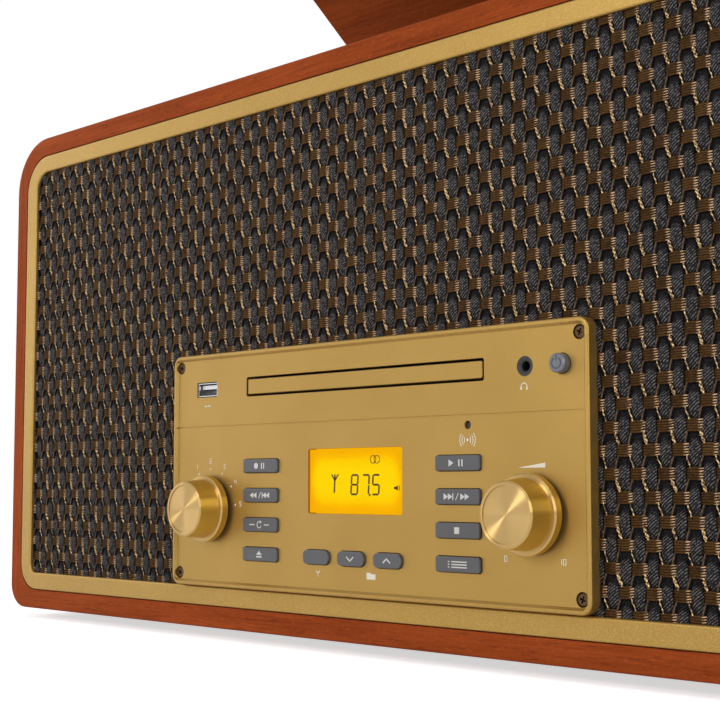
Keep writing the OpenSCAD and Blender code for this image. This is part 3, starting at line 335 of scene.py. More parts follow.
BRASS = (0.495, 0.33, 0.130)
# painted reflection of the gold panel, the colour of the knobs' sides
PAINTED_PANEL_REFLECTION = (0.53, 0.325, 0.052)  # round the sides, which mirror the gold panel
wear(spun_metal("spun_brass", BRASS, 0.3, side=PAINTED_PANEL_REFLECTION), "function_knob", "volume_knob")
print("brass on knobs")


# %% [markdown]
# ## Moulded plastic and rubber
# Buttons, sockets, feet, tray and deck are moulded, and a mould leaves a skin of fine bumps. One
# plain colour would look like paper, and a picture of such a skin would show its pixels from close
# by. A fine noise for gloss and relief and a slow one for tone hold at any distance, so one function
# makes all of them from a colour and a gloss.


# %% Plastic and rubber
def moulded(name, colour, roughness=0.5, bumps=1500.0, relief=0.12, vary=0.25):
    finish = Finish(name, roughness=roughness)
    skin = finish.noise(finish.place(), bumps, 3.0)
    tone = finish.noise(finish.place(), 45.0, 2.0)
    dark = tuple(c * (1 - vary) for c in colour)
    light = tuple(min(1, c * (1 + vary)) for c in colour)
    finish.link(finish.ramp(tone, (0.3, dark), (0.7, light)), "Base Color")
    finish.link(finish.spread(skin, 0.3, 0.7, roughness + 0.08, roughness - 0.06), "Roughness")
    finish.bump(skin, relief, 0.0001)
    return finish


print("plastic and rubber ready")

# %% [markdown]
# ## Bare metal
# Screws, hinges, the arm and the boxes inside are drawn, rolled or pressed, which leaves fine lines
# along them. Lines finer than a hair would cost a mesh far too many faces. A noise squeezed hard
# across them moves tone, gloss and relief together, and one squeezed evenly gives a blasted metal.


# %% Bare metal
EVENLY = (900, 900, 900)


def drawn_metal(name, colour, roughness=0.3, stretch=(30, 1200, 1200), metallic=1.0):
    finish = Finish(name, roughness=roughness, metallic=metallic)
    lines = finish.noise(finish.place(stretch), 2.0, 3.0)
    dark = tuple(c * 0.8 for c in colour)
    finish.link(finish.ramp(lines, (0.3, dark), (0.7, colour)), "Base Color")
    finish.link(finish.spread(lines, 0.3, 0.7, roughness + 0.08, roughness - 0.05), "Roughness")
    finish.bump(lines, 0.08, 0.00005)
    return finish


print("bare metal ready")

# %% [markdown]
# ## Socket plate
# The plate at the back is black plastic, and plated rings stand out of it round the line sockets.
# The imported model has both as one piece, so they share a material. How far back a point lies tells
# a ring from the plate, which is simpler than giving its faces two materials.


# %% Socket plate
PLATE_THICK = 2 * MM


def socket_panel():
    finish = moulded("rear_plate", (0.018, 0.018, 0.019), 0.45)
    back = finish.parts("TexCoord", "Object")[1]
    plate_y = cabinet_high.y + PLATE_THICK
    ring = finish.spread(back, plate_y + 0.1 * MM, plate_y + 0.3 * MM)
    black = finish.surface.inputs["Base Color"].links[0].from_socket
    finish.link(finish.mix(ring, black, (0.72, 0.70, 0.66)), "Base Color")
    finish.link(ring, "Metallic")
    return finish


wear(socket_panel(), "rear_sockets")
print("socket plate with plated rings")

# %% [markdown]
# ## Plain pieces
# Every other piece gets the tone and gloss of its own stuff: gray caps, black screws, green boards,
# steel boxes, brass bearings. Each could have its own network, but they differ only in numbers, so
# a list of calls is enough.

# %% Finishes of the plain pieces
BUTTONS = [
    "record_button", "skip_back_button", "repeat_button", "eject_button",
    "play_button", "skip_forward_button", "stop_button", "program_button",
    "band_button", "folder_down_button", "folder_up_button",
]
wear(moulded("button_gray", (0.080, 0.079, 0.086), 0.42, 2500, 0.05, 0.08), *BUTTONS)
wear(drawn_metal("power_gray", (0.165, 0.175, 0.205), 0.36, EVENLY, 0.4), "power_button")
wear(drawn_metal("bronze_screw", (0.100, 0.062, 0.032), 0.36, EVENLY), "panel_screws")
wear(drawn_metal("socket_steel", (0.62, 0.62, 0.62), 0.25), "usb_socket")
wear(moulded("socket_black", (0.009, 0.008, 0.008), 0.55), "aux_socket")
wear(moulded("led_lens", (0.05, 0.045, 0.05), 0.18), "status_led")
wear(moulded("foot_rubber", (0.02, 0.02, 0.02), 0.75, 700, 0.4), "feet")
wear(moulded("belt_rubber", (0.014, 0.014, 0.014), 0.6, 700, 0.2), "drive_belt")
wear(moulded("black_screw", (0.02, 0.02, 0.022), 0.38), "back_screws")
wear(moulded("deck_plastic", (0.022, 0.021, 0.022), 0.48, 1900, 0.35), "turntable_deck")
wear(moulded("arm_black", (0.016, 0.016, 0.017), 0.34),
     "tonearm_base", "arm_rest", "headshell", "cartridge")
wear(moulded("tray_plastic", (0.016, 0.016, 0.017), 0.45, 1900, 0.25), "disc_tray")
wear(moulded("board_green", (0.02, 0.13, 0.05), 0.35, 300, 0.05), "key_board", "main_board")
wear(moulded("cone_paper", (0.022, 0.021, 0.02), 0.85, 500, 0.5), "speaker_cones")
wear(drawn_metal("sheet_steel", (0.52, 0.53, 0.54), 0.36),
     "disc_loader", "power_transformer", "drive_motor", "selector_switch", "volume_control",
     "speaker_frames")
wear(drawn_metal("hinge_steel", (0.56, 0.55, 0.52), 0.33), "hinge_leaves", "lid_hinge_leaves")
wear(spun_metal("bearing_brass", (0.78, 0.58, 0.28), 0.25, around="Z"),
     "spindle_bearing", "motor_pulley")
wear(spun_metal("platter_metal", (0.74, 0.74, 0.75), 0.26, around="Z"), "platter")
wear(spun_metal("spindle_steel", (0.80, 0.80, 0.81), 0.12, around="Z"), "record_spindle")
wear(spun_metal("adapter_metal", (0.72, 0.72, 0.72), 0.26, around="Z"), "record_adapter")
wear(drawn_metal("arm_metal", (0.72, 0.72, 0.74), 0.22, (900, 40, 900)),
     "arm_yoke", "tonearm_tube", "cue_lever", "speed_lever")
wear(spun_metal("weight_steel", (0.66, 0.66, 0.68), 0.18), "counterweight")
print("plain finishes given")


# %% [markdown]
# ## Boards and felt
# The back is painted hardboard, the board behind the cloth raw fibreboard, and the mat on the
# platter is felt. Felt has no weave: short fibres lie every way, so a fuzzy noise with a soft sheen
# stands in for them.


# %% Boards and felt
def board(name, dark, light, roughness):
    finish = Finish(name, roughness=roughness)
    fibre = finish.noise(finish.place(), 900.0, 6.0, 0.7)
    slow = finish.noise(finish.place(), 18.0, 3.0)
    finish.link(finish.ramp(finish.weigh(fibre, slow), (0.35, dark), (0.65, light)), "Base Color")
    finish.bump(fibre, 0.3, 0.0002)
    return finish


def felt():
    finish = board("mat_felt", (0.010, 0.010, 0.011), (0.030, 0.030, 0.032), 0.95)
    finish.set("Sheen Weight", 0.5)
    finish.set("Sheen Roughness", 0.4)
    return finish


wear(board("dark_board", (0.018, 0.016, 0.015), (0.040, 0.035, 0.031), 0.7), "back_panel")
wear(board("raw_board", (0.28, 0.18, 0.09), (0.48, 0.33, 0.18), 0.85), "baffle_board")
wear(felt(), "slip_mat")
print("boards and felt given")

# %% [markdown]
# ## Meshes from rows of points
# The cloth is hundreds of strands. Each is a ribbon or a tube: rows of points joined by
# quadrilaterals. Building all strands of one kind into a single mesh with arrays is quick and keeps
# the scene small.


# %% Helper for strands
class Strands:
    """Collects strips and tubes, then makes one mesh of them."""

    def __init__(self):
        self.points = []
        self.faces = []
        self.count = 0

    def strip(self, rows, closed=False):
        """rows holds rings of equally many points. closed joins the ends of each ring."""
        rings, sides = rows.shape[:2]
        index = self.count + np.arange(rings * sides).reshape(rings, sides)
        if closed:
            index = np.hstack([index, index[:, :1]])
        a, b = index[:-1, :-1].ravel(), index[:-1, 1:].ravel()
        c, d = index[1:, 1:].ravel(), index[1:, :-1].ravel()
        self.faces.append(np.stack([a, b, c, d], 1))
        self.points.append(rows.reshape(-1, 3))
        self.count += rings * sides

    def make(self, name, finish):
        mesh = bpy.data.meshes.new(name)
        mesh.from_pydata(np.vstack(self.points).tolist(), [], np.vstack(self.faces).tolist())
        mesh.polygons.foreach_set("use_smooth", [True] * len(mesh.polygons))
        mesh.materials.append(finish.material)
        mesh.update()
        piece = put_in_scene(name, mesh)
        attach(piece, "cabinet")
        print(name, len(mesh.polygons), "faces")
        return piece


# %% [markdown]
# ## The cloth's outline
# The cloth fills the gold frame: a rectangle with rounded corners. Strands end just behind the
# frame's inner edge, and the ones that would run behind the panel stop a little inside its edge.
# They could be made too long and cut off, which leaves ragged ends. Two small functions say instead
# how far up, down and sideways a strand may run.

# %% Outline of the cloth
CLOTH_Y = cloth_low.y
HALF_W = (cloth_high.x - cloth_low.x) / 2
LOW_Z, HIGH_Z = cloth_low.z, cloth_high.z
CORNER_TOP, CORNER_BOTTOM = 15.4 * MM, 10.4 * MM
BEHIND_PANEL = 6 * MM  # how far strands run on behind the panel's edge
PANEL_HALF = (panel_high.x - panel_low.x) / 2 - BEHIND_PANEL
PANEL_TOP = panel_high.z - BEHIND_PANEL


def corner_cut(inward, radius):
    """How far a rounded corner cuts in, at a distance inward from the straight side."""
    if inward >= radius:
        return 0.0
    rest = radius - max(inward, 0.0)
    return radius - math.sqrt(max(radius * radius - rest * rest, 0.0))


def height_span(x):
    inward = HALF_W - abs(x)
    return LOW_Z + corner_cut(inward, CORNER_BOTTOM), HIGH_Z - corner_cut(inward, CORNER_TOP)


def half_width(z):
    return HALF_W - max(corner_cut(z - LOW_Z, CORNER_BOTTOM), corner_cut(HIGH_Z - z, CORNER_TOP))


print("cloth", round(2 * HALF_W, 4), "x", round(HIGH_Z - LOW_Z, 4))

# %% [markdown]
# ## Weave
# Black braided ribbons run down, brown bundles of five threads run across, one over and one under
# in turn. Where a ribbon comes over it swells into an oval between two bundles. Twisted gold threads
# run steeply down from one bundle to the next, and thin brown ones lean the other way. A flat sheet
# with a pattern would be far quicker to make, but the photograph looks along the cloth and shows how
# the strands rise and dip, so all of them are real geometry. Their sizes come first.

# %% Sizes of the weave
COLUMN = 5.40 * MM
ROW = 7.77 * MM
RIBBON_W = 4.35 * MM
RIBBON_THIN = 2.5 * MM
RIBBON_RISE = 0.80 * MM
THREADS = 5
THREAD_STEP = ROW / 9
BUNDLE_H = THREADS * THREAD_STEP
BUNDLE_RISE = 0.62 * MM
WEAVE_Y = CLOTH_Y + 0.40 * MM
columns = range(-int(HALF_W / COLUMN), int(HALF_W / COLUMN) + 1)
ROW_0 = (LOW_Z + HIGH_Z) / 2
rows = range(-int((ROW_0 - LOW_Z) / ROW), int((HIGH_Z - ROW_0) / ROW) + 1)
print(len(columns), "ribbons and", len(rows), "bundles")

# %% [markdown]
# ## Patterns of the yarns
# Stitches, threads and plies are finer than the strands' meshes. They could be more geometry, but
# there are thousands of them. A cosine of the height makes even stripes, which lean when some of the
# place to the right is taken away first. How deep a point lies, and how far it faces up, tell where
# a ribbon comes out from under a bundle. There shade is painted into the ribbon's colour.

# %% Patterns of the yarns
def stripes(finish, lean, low, high, step=THREAD_STEP):
    """0 between two threads of a bundle and 1 on a thread. With lean the stripes rise to the right."""
    x, _, z = finish.parts("TexCoord", "Object")
    level = finish.math("SUBTRACT", z, ROW_0)
    height = finish.math("SUBTRACT", level, finish.math("MULTIPLY", x, lean))
    wave = finish.math("COSINE", finish.math("MULTIPLY", height, 2 * math.pi / step))
    return finish.spread(wave, low, high)


def dive(finish):
    """Where shade is painted on a ribbon: 1 where it comes out from under the bundle above it, 0 further
    down and on its crest.
    """
    y = finish.parts("TexCoord", "Object")[1]
    up = finish.parts("NewGeometry", "Normal")[2]
    deep = finish.math("ADD", finish.math("SUBTRACT", y, WEAVE_Y), finish.math("MULTIPLY", up, 1.5 * MM))
    return finish.spread(deep, -0.45 * MM, 0.20 * MM)


print("a stripe every", round(THREAD_STEP / MM, 2), "mm")

# %% [markdown]
# ## Black braid
# The ribbons are braided from black yarn with short pale stitches across it. Stripes alone look like
# a ruled sheet, so a noise breaks them into specks, and a relief follows them.


# %% Black braid
def braid():
    """Black yarn crossed by lines of pale stitches that rise to the right, with painted shade where it
    comes out from under a bundle.
    """
    finish = Finish("black_braid", roughness=0.65, specular=0.03)
    stitches = stripes(finish, 0.78, 0.05, 0.90, 1.08 * MM)
    breaks = finish.noise(finish.place((1250, 900, 1250)), 1.0, 1.0)
    both = finish.math("MULTIPLY", stitches, finish.spread(breaks, 0.42, 0.56, 0.08, 1.0))
    fuzz = finish.noise(finish.place(), 1300.0, 2.0)
    black = finish.ramp(fuzz, (0.35, (0.009, 0.008, 0.008)), (0.65, (0.024, 0.023, 0.024)))
    black = finish.mix(both, black, (0.200, 0.188, 0.186))
    # painted shade: near black where the ribbon comes out from under the bundle above it
    shaded = finish.math("MULTIPLY", dive(finish), 0.85)
    finish.link(finish.mix(shaded, black, (0.006, 0.005, 0.005)), "Base Color")
    finish.bump(both, 0.5, 0.0002)
    return finish


braid_finish = braid()
print("black braid ready")

# %% [markdown]
# ## Brown bundles
# A bundle is five glossy brown threads. At its right end, where they bend down, they catch the light
# as pale dashes on a dark ground. Both are painted into the colour, a painted highlight on each thread
# over painted shade. That end could be a mesh of its own. The direction in which the surface faces
# finds it too, and goes over into the rest without a seam.


# %% Brown bundles
def bundle():
    finish = Finish("brown_bundle", roughness=0.6, specular=0.04)
    strands = finish.noise(finish.place((600, 600, 2300)), 1.0, 3.0)
    slow = finish.noise(finish.place(), 70.0, 2.0)
    brown = finish.ramp(finish.weigh(strands, slow),
                        (0.36, (0.036, 0.0165, 0.0045)), (0.66, (0.125, 0.062, 0.018)))
    brown = finish.mix(stripes(finish, 0.0, -0.9, -0.2), (0.020, 0.009, 0.004), brown)
    # painted shade and painted highlight at the right end, where the threads bend down: the end is
    # darkened, then pale dashes are laid on each thread
    end = finish.spread(finish.parts("NewGeometry", "Normal")[0], 0.22, 0.30)
    brown = finish.mix(finish.math("MULTIPLY", end, 0.85), brown, (0.016, 0.008, 0.004))
    twist = finish.noise(finish.place(), 900.0, 2.0)
    painted_highlight = finish.math("MULTIPLY", end, stripes(finish, 0.14, -0.1, 0.55))
    painted_highlight = finish.math("MULTIPLY", painted_highlight, finish.spread(twist, 0.34, 0.52, 0.25, 1.0))
    finish.link(finish.mix(painted_highlight, brown, (0.78, 0.50, 0.29)), "Base Color")
    finish.bump(strands, 0.3, 0.0002)
    return finish


bundle_finish = bundle()
print("brown bundles ready")

# %% [markdown]
# ## Binding yarns
# The binding threads are plied gold and plain brown yarn. Black cloth lies under them all, and its
# black is painted shade in the gaps between the strands.
# A metal finish would make the gold one look like wire. It is a yarn with a little metal in it, so
# most of its tone comes from fibres. Its lightest tones are partly its own gold and partly painted
# glints, and painted shade darkens it between the turns of its plies.


# %% Binding yarns
def thread(name, dark, light, roughness, at=(0.36, 0.62), metallic=0.0, painted_ply_shade=0.0):
    """Spun yarn. The last argument paints shade between the turns of a plied thread, so its tone changes
    from turn to turn.
    """
    finish = Finish(name, roughness=roughness, metallic=metallic, specular=0.3)
    along = finish.noise(finish.place((700, 700, 1100)), 1.0, 2.0)
    tone = finish.ramp(along, (at[0], dark), (at[1], light))
    if painted_ply_shade:
        # painted shade: darker bands between the turns of the plies
        turns = stripes(finish, -0.8, 0.35, -0.45, 1.15 * MM)
        tone = finish.mix(finish.math("MULTIPLY", turns, painted_ply_shade), tone, dark)
    finish.link(tone, "Base Color")
    finish.bump(along, 0.35, 0.0002)
    return finish


brown_finish = thread("brown_thread", (0.040, 0.022, 0.010), (0.150, 0.088, 0.048), 0.6)
# the light colour is partly the gold yarn's own and partly painted glints
gold_finish = thread("gold_thread", (0.075, 0.036, 0.014), (1.0, 0.68, 0.33), 0.34,
                     at=(0.36, 0.56), metallic=0.15, painted_ply_shade=0.85)
# the backing's black is painted shade for the gaps between the strands
backing_finish = moulded("cloth_backing", (0.005, 0.004, 0.004), 0.95, 400, 0.4)
print("binding yarns ready")

# %% [markdown]
# ## Ribbons
# A ribbon is a flat braid, wide and arched where it lies on top and narrow where it dips under a
# bundle. A curve with a profile could make one if its width stayed the same. A grid of points worked
# out row by row gives width, arch and depth at once, and a slow drift keeps the rows from looking
# stamped.

# %% Ribbons
RIBBON_POINTS = 7
RIBBON_STEPS = 8  # from one bundle to the next
CROWN_LOW, CROWN_MORE = 0.25 * MM, 0.5 * MM  # its arch in a dip, and how much more on top


def pulse(t):
    """1 at a crest of the weave, -1 in a trough."""
    return math.cos(math.pi * t)


def ribbon_rows(x, z0, z1, parity):
    steps = max(4, round((z1 - z0) / ROW * RIBBON_STEPS))
    across = np.linspace(-1, 1, RIBBON_POINTS)
    made = []
    for i in range(steps + 1):
        z = z0 + (z1 - z0) * i / steps
        up = pulse((z - ROW_0) / ROW + parity)
        drift = math.sin(z / ROW * 1.9 + parity * 2.3) + math.sin(z / ROW * 0.83 + parity * 5.1)
        swell = max(0.0, 0.5 + 0.5 * up) ** 0.6
        half = (RIBBON_THIN + (RIBBON_W - RIBBON_THIN) * swell) / 2 * (1 + 0.035 * drift)
        crown = CROWN_LOW + CROWN_MORE * swell
        back = WEAVE_Y - RIBBON_RISE * up - crown * (np.sqrt(1 - 0.96 * across**2) - 0.6)
        beside = x + 0.12 * MM * drift + half * across
        made.append(np.stack([beside, back, np.full(RIBBON_POINTS, z)], 1))
    return np.array(made)


ribbons = Strands()
for c in columns:
    x = c * COLUMN
    low, high = height_span(x)
    if abs(x) < PANEL_HALF:
        low = PANEL_TOP
    ribbons.strip(ribbon_rows(x, low, high, c))
ribbon_piece = ribbons.make("cloth_ribbons", braid_finish)

# %% [markdown]
# ## Bundles of brown threads
# Five threads lie side by side and rise over every second ribbon. Five tubes could lie there, but
# nobody sees between them. One strip with five ridges looks the same and takes far fewer faces.

# %% Bundles of brown threads
BUNDLE_STEPS = 5  # from one ribbon to the next
RIDGE = 0.30 * MM


def bundle_rows(z, x0, x1, parity):
    steps = max(4, round((x1 - x0) / COLUMN * BUNDLE_STEPS))
    ridge = np.array([0.0 if i % 2 == 0 else 1.0 for i in range(2 * THREADS + 1)])
    across = np.linspace(-0.5, 0.5, 2 * THREADS + 1)
    made = []
    for i in range(steps + 1):
        x = x0 + (x1 - x0) * i / steps
        up = -pulse(x / COLUMN + parity)
        squeeze = 0.90 + 0.10 * up
        back = WEAVE_Y - BUNDLE_RISE * up - RIDGE * ridge
        made.append(np.stack([np.full(len(across), x), back, z + BUNDLE_H * squeeze * across], 1))
    return np.array(made)[:, ::-1]


bundles = Strands()
for r in rows:
    z = ROW_0 + r * ROW
    reach = half_width(z)
    if z > PANEL_TOP:
        bundles.strip(bundle_rows(z, -reach, reach, r))
    else:
        bundles.strip(bundle_rows(z, -reach, -PANEL_HALF, r))
        bundles.strip(bundle_rows(z, PANEL_HALF, reach, r))
bundle_piece = bundles.make("cloth_bundles", bundle_finish)

# %% [markdown]
# ## Tubes for binding threads
# A binding thread is a twisted cord a few millimetres long. A bent curve could make it, but then
# its twist would be only painted on. Here rings of points follow the line from end to end, and with
# a twist they wind round it, so two of them make a plied thread that catches the light as beads.

# %% Tubes for binding threads
BOW = 0.25 * MM  # how far a thread stands out in its middle
WIND = 2.6 * math.pi  # how far a ply winds from end to end


def tube_rows(start, end, radii, sides, twist=0.0, turn=0.0):
    """Rings of a thread from start to end. With a twist it winds round the line between them."""
    start, end = np.array(start), np.array(end)
    along = end - start
    side = np.cross(along, (0, 1, 0))
    side = side / np.linalg.norm(side)
    out = np.array((0.0, -1.0, 0.0))
    turns = np.arange(sides) * 2 * math.pi / sides
    ring = np.outer(np.cos(turns), side) + np.outer(np.sin(turns), out)
    made = []
    for i, r in enumerate(radii):
        t = i / (len(radii) - 1)
        wind = turn + WIND * t
        centre = start + along * t + out * math.sin(math.pi * t) * BOW
        centre = centre + (side * math.cos(wind) + out * math.sin(wind)) * twist
        made.append(centre + ring * r)
    return np.array(made)


print("tubes ready")

# %% [markdown]
# ## Binding threads
# Gold threads hold the bundles, with two plies in every second column and a single thin strand in
# the others, and thin brown ones lean the other way. Copies of one thread would repeat to the eye,
# so each is made anew with ends that stray a little. Only those that the frame and panel leave in
# view are made.

# %% Binding threads
PLY_R, PLY_OUT = 0.38 * MM, 0.30 * MM
SLIM_R, SLIM_OUT = (0.22, 0.30), 0.12 * MM  # the radius lies between these two millimetre values
BROWN_R = 0.36 * MM
STRAY = 0.25  # how far an end may stray, in millimetres
UNDER_TOP, OVER_BOTTOM = 1.6 * MM, 1.8 * MM
GOLD_FROM, GOLD_TO = 2.2 * MM, 3.8 * MM  # right of the ribbon's middle
BROWN_FROM, BROWN_TO = 2.5 * MM, 3.8 * MM  # left of the ribbon's middle
EDGE_ROOM = 3 * MM


def shown(x, z):
    low, high = height_span(x)
    return low + EDGE_ROOM < z < high - EDGE_ROOM and (abs(x) > PANEL_HALF or z > PANEL_TOP)


def bind(x, z, plied):
    """A gold thread on the right and a brown one on the left, from the bundle at z to the next."""
    shift = [random.uniform(-STRAY, STRAY) * MM for _ in range(4)]
    top, bottom = z - UNDER_TOP, z - ROW + OVER_BOTTOM
    y = WEAVE_Y - 0.25 * MM
    start = (x + GOLD_FROM + shift[0], y, top + shift[1])
    end = (x + GOLD_TO + shift[2], y, bottom)
    if plied:
        for turn in (0, math.pi):
            gold_threads.strip(tube_rows(start, end, [PLY_R] * 9, 4, PLY_OUT, turn), closed=True)
    else:
        slim = random.uniform(*SLIM_R) * MM
        gold_threads.strip(tube_rows(start, end, [slim] * 4, 4, SLIM_OUT), closed=True)
    y += 0.3 * MM
    start, end = (x - BROWN_FROM + shift[3], y, top), (x - BROWN_TO + shift[1], y, bottom)
    brown_threads.strip(tube_rows(start, end, [BROWN_R] * 3, 4), closed=True)


gold_threads, brown_threads = Strands(), Strands()
for c in columns:
    for r in rows:
        x, z = c * COLUMN, ROW_0 + r * ROW
        if (c + r) % 2 and shown(x, z - ROW / 2) and abs(x) <= HALF_W - COLUMN:
            bind(x, z, plied=c % 2 == 0)
gold_piece = gold_threads.make("cloth_gold_threads", gold_finish)
brown_piece = brown_threads.make("cloth_brown_threads", brown_finish)

# %% [markdown]
# ## Backing cloth
# The strands lie on a black backing cloth, which closes the gaps between them. Its black is painted
# shade, so the gaps read as deep shadow. It is one sheet, stretched over the board behind it, with an
# opening where the panel's body and the power button go through. A plane with a cut through it would
# need a boolean. A grid whose lines run along the opening's edges just leaves those cells out, and
# the same height function rounds its corners.


# %% Backing cloth
BODY_HALF = 102.6 * MM  # half the width of the panel's body, behind its plate
BODY_INSET = 2.8 * MM  # from the plate's edge to that body, above and below
BUTTON_BESIDE, BUTTON_ABOVE = 7 * MM, 6.5 * MM  # from the power button's middle to the opening's edge
BACKING_DEPTH = 1.45 * MM


def backing():
    skirt_x, skirt_low, skirt_high = BODY_HALF, PANEL_Z + BODY_INSET, panel_high.z - BODY_INSET
    power = front_middle("power_button")
    power_x = power.x + BUTTON_BESIDE
    power_low, power_high = power.z - BUTTON_ABOVE, power.z + BUTTON_ABOVE
    edges = [HALF_W - CORNER_TOP * (1 - math.cos(math.radians(a))) for a in range(0, 91, 15)]
    xs = sorted({round(s * e, 6) for e in edges for s in (-1, 1)}
                | {-skirt_x, skirt_x, round(power_x, 6)}
                | {round(v, 6) for v in np.linspace(-0.22, 0.22, 23)})
    levels = (skirt_low, skirt_high, power_low, power_high)
    cuts = [0.0] + [(z - LOW_Z) / (HIGH_Z - LOW_Z) for z in levels]
    vs = sorted(set(cuts) | set(np.round(np.linspace(cuts[2] + 0.02, 1, 6), 5)))
    grid = Strands()
    for x0, x1 in zip(xs, xs[1:]):
        for v0, v1 in zip(vs, vs[1:]):
            x, v = (x0 + x1) / 2, (v0 + v1) / 2
            in_body = abs(x) < skirt_x and cuts[1] < v < cuts[2]
            if in_body or 0 < x < power_x and cuts[3] < v < cuts[4]:
                continue
            ring = []
            for x, v in ((x0, v0), (x1, v0), (x0, v1), (x1, v1)):
                low, high = height_span(x)
                ring.append((x, CLOTH_Y + BACKING_DEPTH, low + (high - low) * v))
            grid.strip(np.array(ring).reshape(2, 2, 3)[:, ::-1])
    piece = grid.make("cloth_backing", backing_finish)
    work = bmesh.new()
    work.from_mesh(piece.data)
    bmesh.ops.remove_doubles(work, verts=work.verts, dist=1e-6)
    area = sum(f.calc_area() for f in work.faces)
    work.to_mesh(piece.data)
    work.free()
    return piece, area


cloth, cloth_area = backing()
print("cloth area", round(cloth_area, 4))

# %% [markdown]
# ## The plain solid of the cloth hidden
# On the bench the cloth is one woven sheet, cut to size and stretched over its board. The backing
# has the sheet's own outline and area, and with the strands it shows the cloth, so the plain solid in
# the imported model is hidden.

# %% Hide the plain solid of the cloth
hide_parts("grille_cloth")


# %% [markdown]
# ## Outlines for marks
# Buttons and panel carry small printed signs, such as arrows for skipping, a bar and triangle for
# eject, and figures round the dial. They could be a painted picture, which blurs from close by. Here
# each is a set of flat outlines in millimetres, so its edges stay sharp at any distance.


# %% Outlines for marks
def block(cx, cz, w, h):
    left, right, low, high = cx - w / 2, cx + w / 2, cz - h / 2, cz + h / 2
    return [(left, low), (right, low), (right, high), (left, high)]


def triangle(cx, cz, s, way=1):
    half = way * s * 0.45
    return [(cx - half, cz - s / 2), (cx + half, cz), (cx - half, cz + s / 2)]


def on_circle(cx, cz, r, angles):
    return [(cx + r * math.cos(a), cz + r * math.sin(a)) for a in angles]


def disc(cx, cz, r, count=24):
    return on_circle(cx, cz, r, [2 * math.pi * i / count for i in range(count)])


def bow(cx, cz, r, width, start, end, count=16):
    angles = [math.radians(start + (end - start) * i / count) for i in range(count + 1)]
    return on_circle(cx, cz, r + width / 2, angles) + on_circle(cx, cz, r - width / 2, angles[::-1])


def stroke(x0, z0, x1, z1, width):
    length = math.hypot(x1 - x0, z1 - z0)
    nx, nz = -(z1 - z0) / length * width / 2, (x1 - x0) / length * width / 2
    return [(x0 + nx, z0 + nz), (x0 - nx, z0 - nz), (x1 - nx, z1 - nz), (x1 + nx, z1 + nz)]


print("outline helpers ready")

# %% [markdown]
# ## Figures
# The dial's numbers and the lit reading are figures. A font would do, but the real display builds
# its figures from straight bars, and one short table of bars serves for both.

# %% Figures of straight bars
SEGMENTS = {
    "0": "abcdef", "1": "bc", "2": "abged", "3": "abgcd", "4": "fgbc", "5": "afgcd",
    "6": "afgedc", "7": "abc", "8": "abcdefg", "9": "abcdfg",
}


def digit(char, cx, cz, w, h, t, gap=0.0, lean=0.0):
    """One figure from straight bars, as on a segment display, leaning to the right by lean."""
    top, mid, low = cz + h / 2, cz, cz - h / 2
    left, right = cx - w / 2, cx + w / 2
    end = -t / 2 if gap == 0 else gap
    bars = {
        "a": (left + end, top, right - end, top), "g": (left + end, mid, right - end, mid),
        "d": (left + end, low, right - end, low), "f": (left, mid + gap, left, top - gap),
        "b": (right, mid + gap, right, top - gap), "e": (left, low + gap, left, mid - gap),
        "c": (right, low + gap, right, mid - gap),
    }
    made = [stroke(*bars[name], t) for name in SEGMENTS[char]]
    return [[(x + lean * (z - cz), z) for x, z in outline] for outline in made]


def figures(text, cx, cz, h):
    w = h * 0.55
    step = w + h * 0.42
    made = []
    for i, char in enumerate(text):
        made += digit(char, cx + (i - (len(text) - 1) / 2) * step, cz, w, h, h * 0.16)
    return made


print(len(SEGMENTS), "figures ready")

# %% [markdown]
# ## Print
# A print is a layer of paint that lies on the plastic. As part of that piece's texture it would have
# to be placed anew on every piece. A thin closed solid is easier to place, and it rides with what it
# is printed on, so a sign moves in with its button.

# %% Prints from outlines
PRINT = 0.06 * MM


def mark(name, outlines, origin, finish, body, thick=PRINT):
    """Flat outlines in millimetres round origin, raised by thick towards the front, as one piece."""
    work = bmesh.new()
    for outline in outlines:
        spots = [(origin.x + x * MM, origin.z + z * MM) for x, z in outline]
        front = [work.verts.new((x, origin.y - thick, z)) for x, z in spots]
        back = [work.verts.new((x, origin.y + PRINT, z)) for x, z in spots]
        work.faces.new(front)
        work.faces.new(back[::-1])
        count = len(front)
        for i in range(count):
            work.faces.new((front[i], front[(i + 1) % count], back[(i + 1) % count], back[i]))
    bmesh.ops.recalc_face_normals(work, faces=work.faces)
    mesh = bpy.data.meshes.new(name)
    work.to_mesh(mesh)
    work.free()
    mesh.materials.append(finish.material)
    piece = put_in_scene(name, mesh)
    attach(piece, body)


print("prints ready")

# %% [markdown]
# ## Marks on the buttons
# Each button shows its task by a white sign in the middle of its cap. The signs are put together
# from the few outlines above, since they are all bars, triangles, discs and bows.

# %% Marks on the buttons
print_white = moulded("print_white", (0.62, 0.61, 0.58), 0.5, 2500, 0.05, 0.05)
print_dark = moulded("print_dark", (0.03, 0.03, 0.035), 0.5, 2500, 0.05, 0.05)
print_cream = moulded("print_cream", (0.78, 0.74, 0.62), 0.5, 2500, 0.05, 0.05)


def skip_signs(way):
    """Skip and wind, with a stroke between them. way is 1 to the right and -1 to the left."""
    shapes = [triangle(x * way, 0, 2.4, way) for x in (-5.2, -3.1, 2.9, 5.0)]
    return shapes + [block(-1.8 * way, 0, 0.45, 2.4), stroke(-0.5, -1.3, 0.9, 1.3, 0.32)]


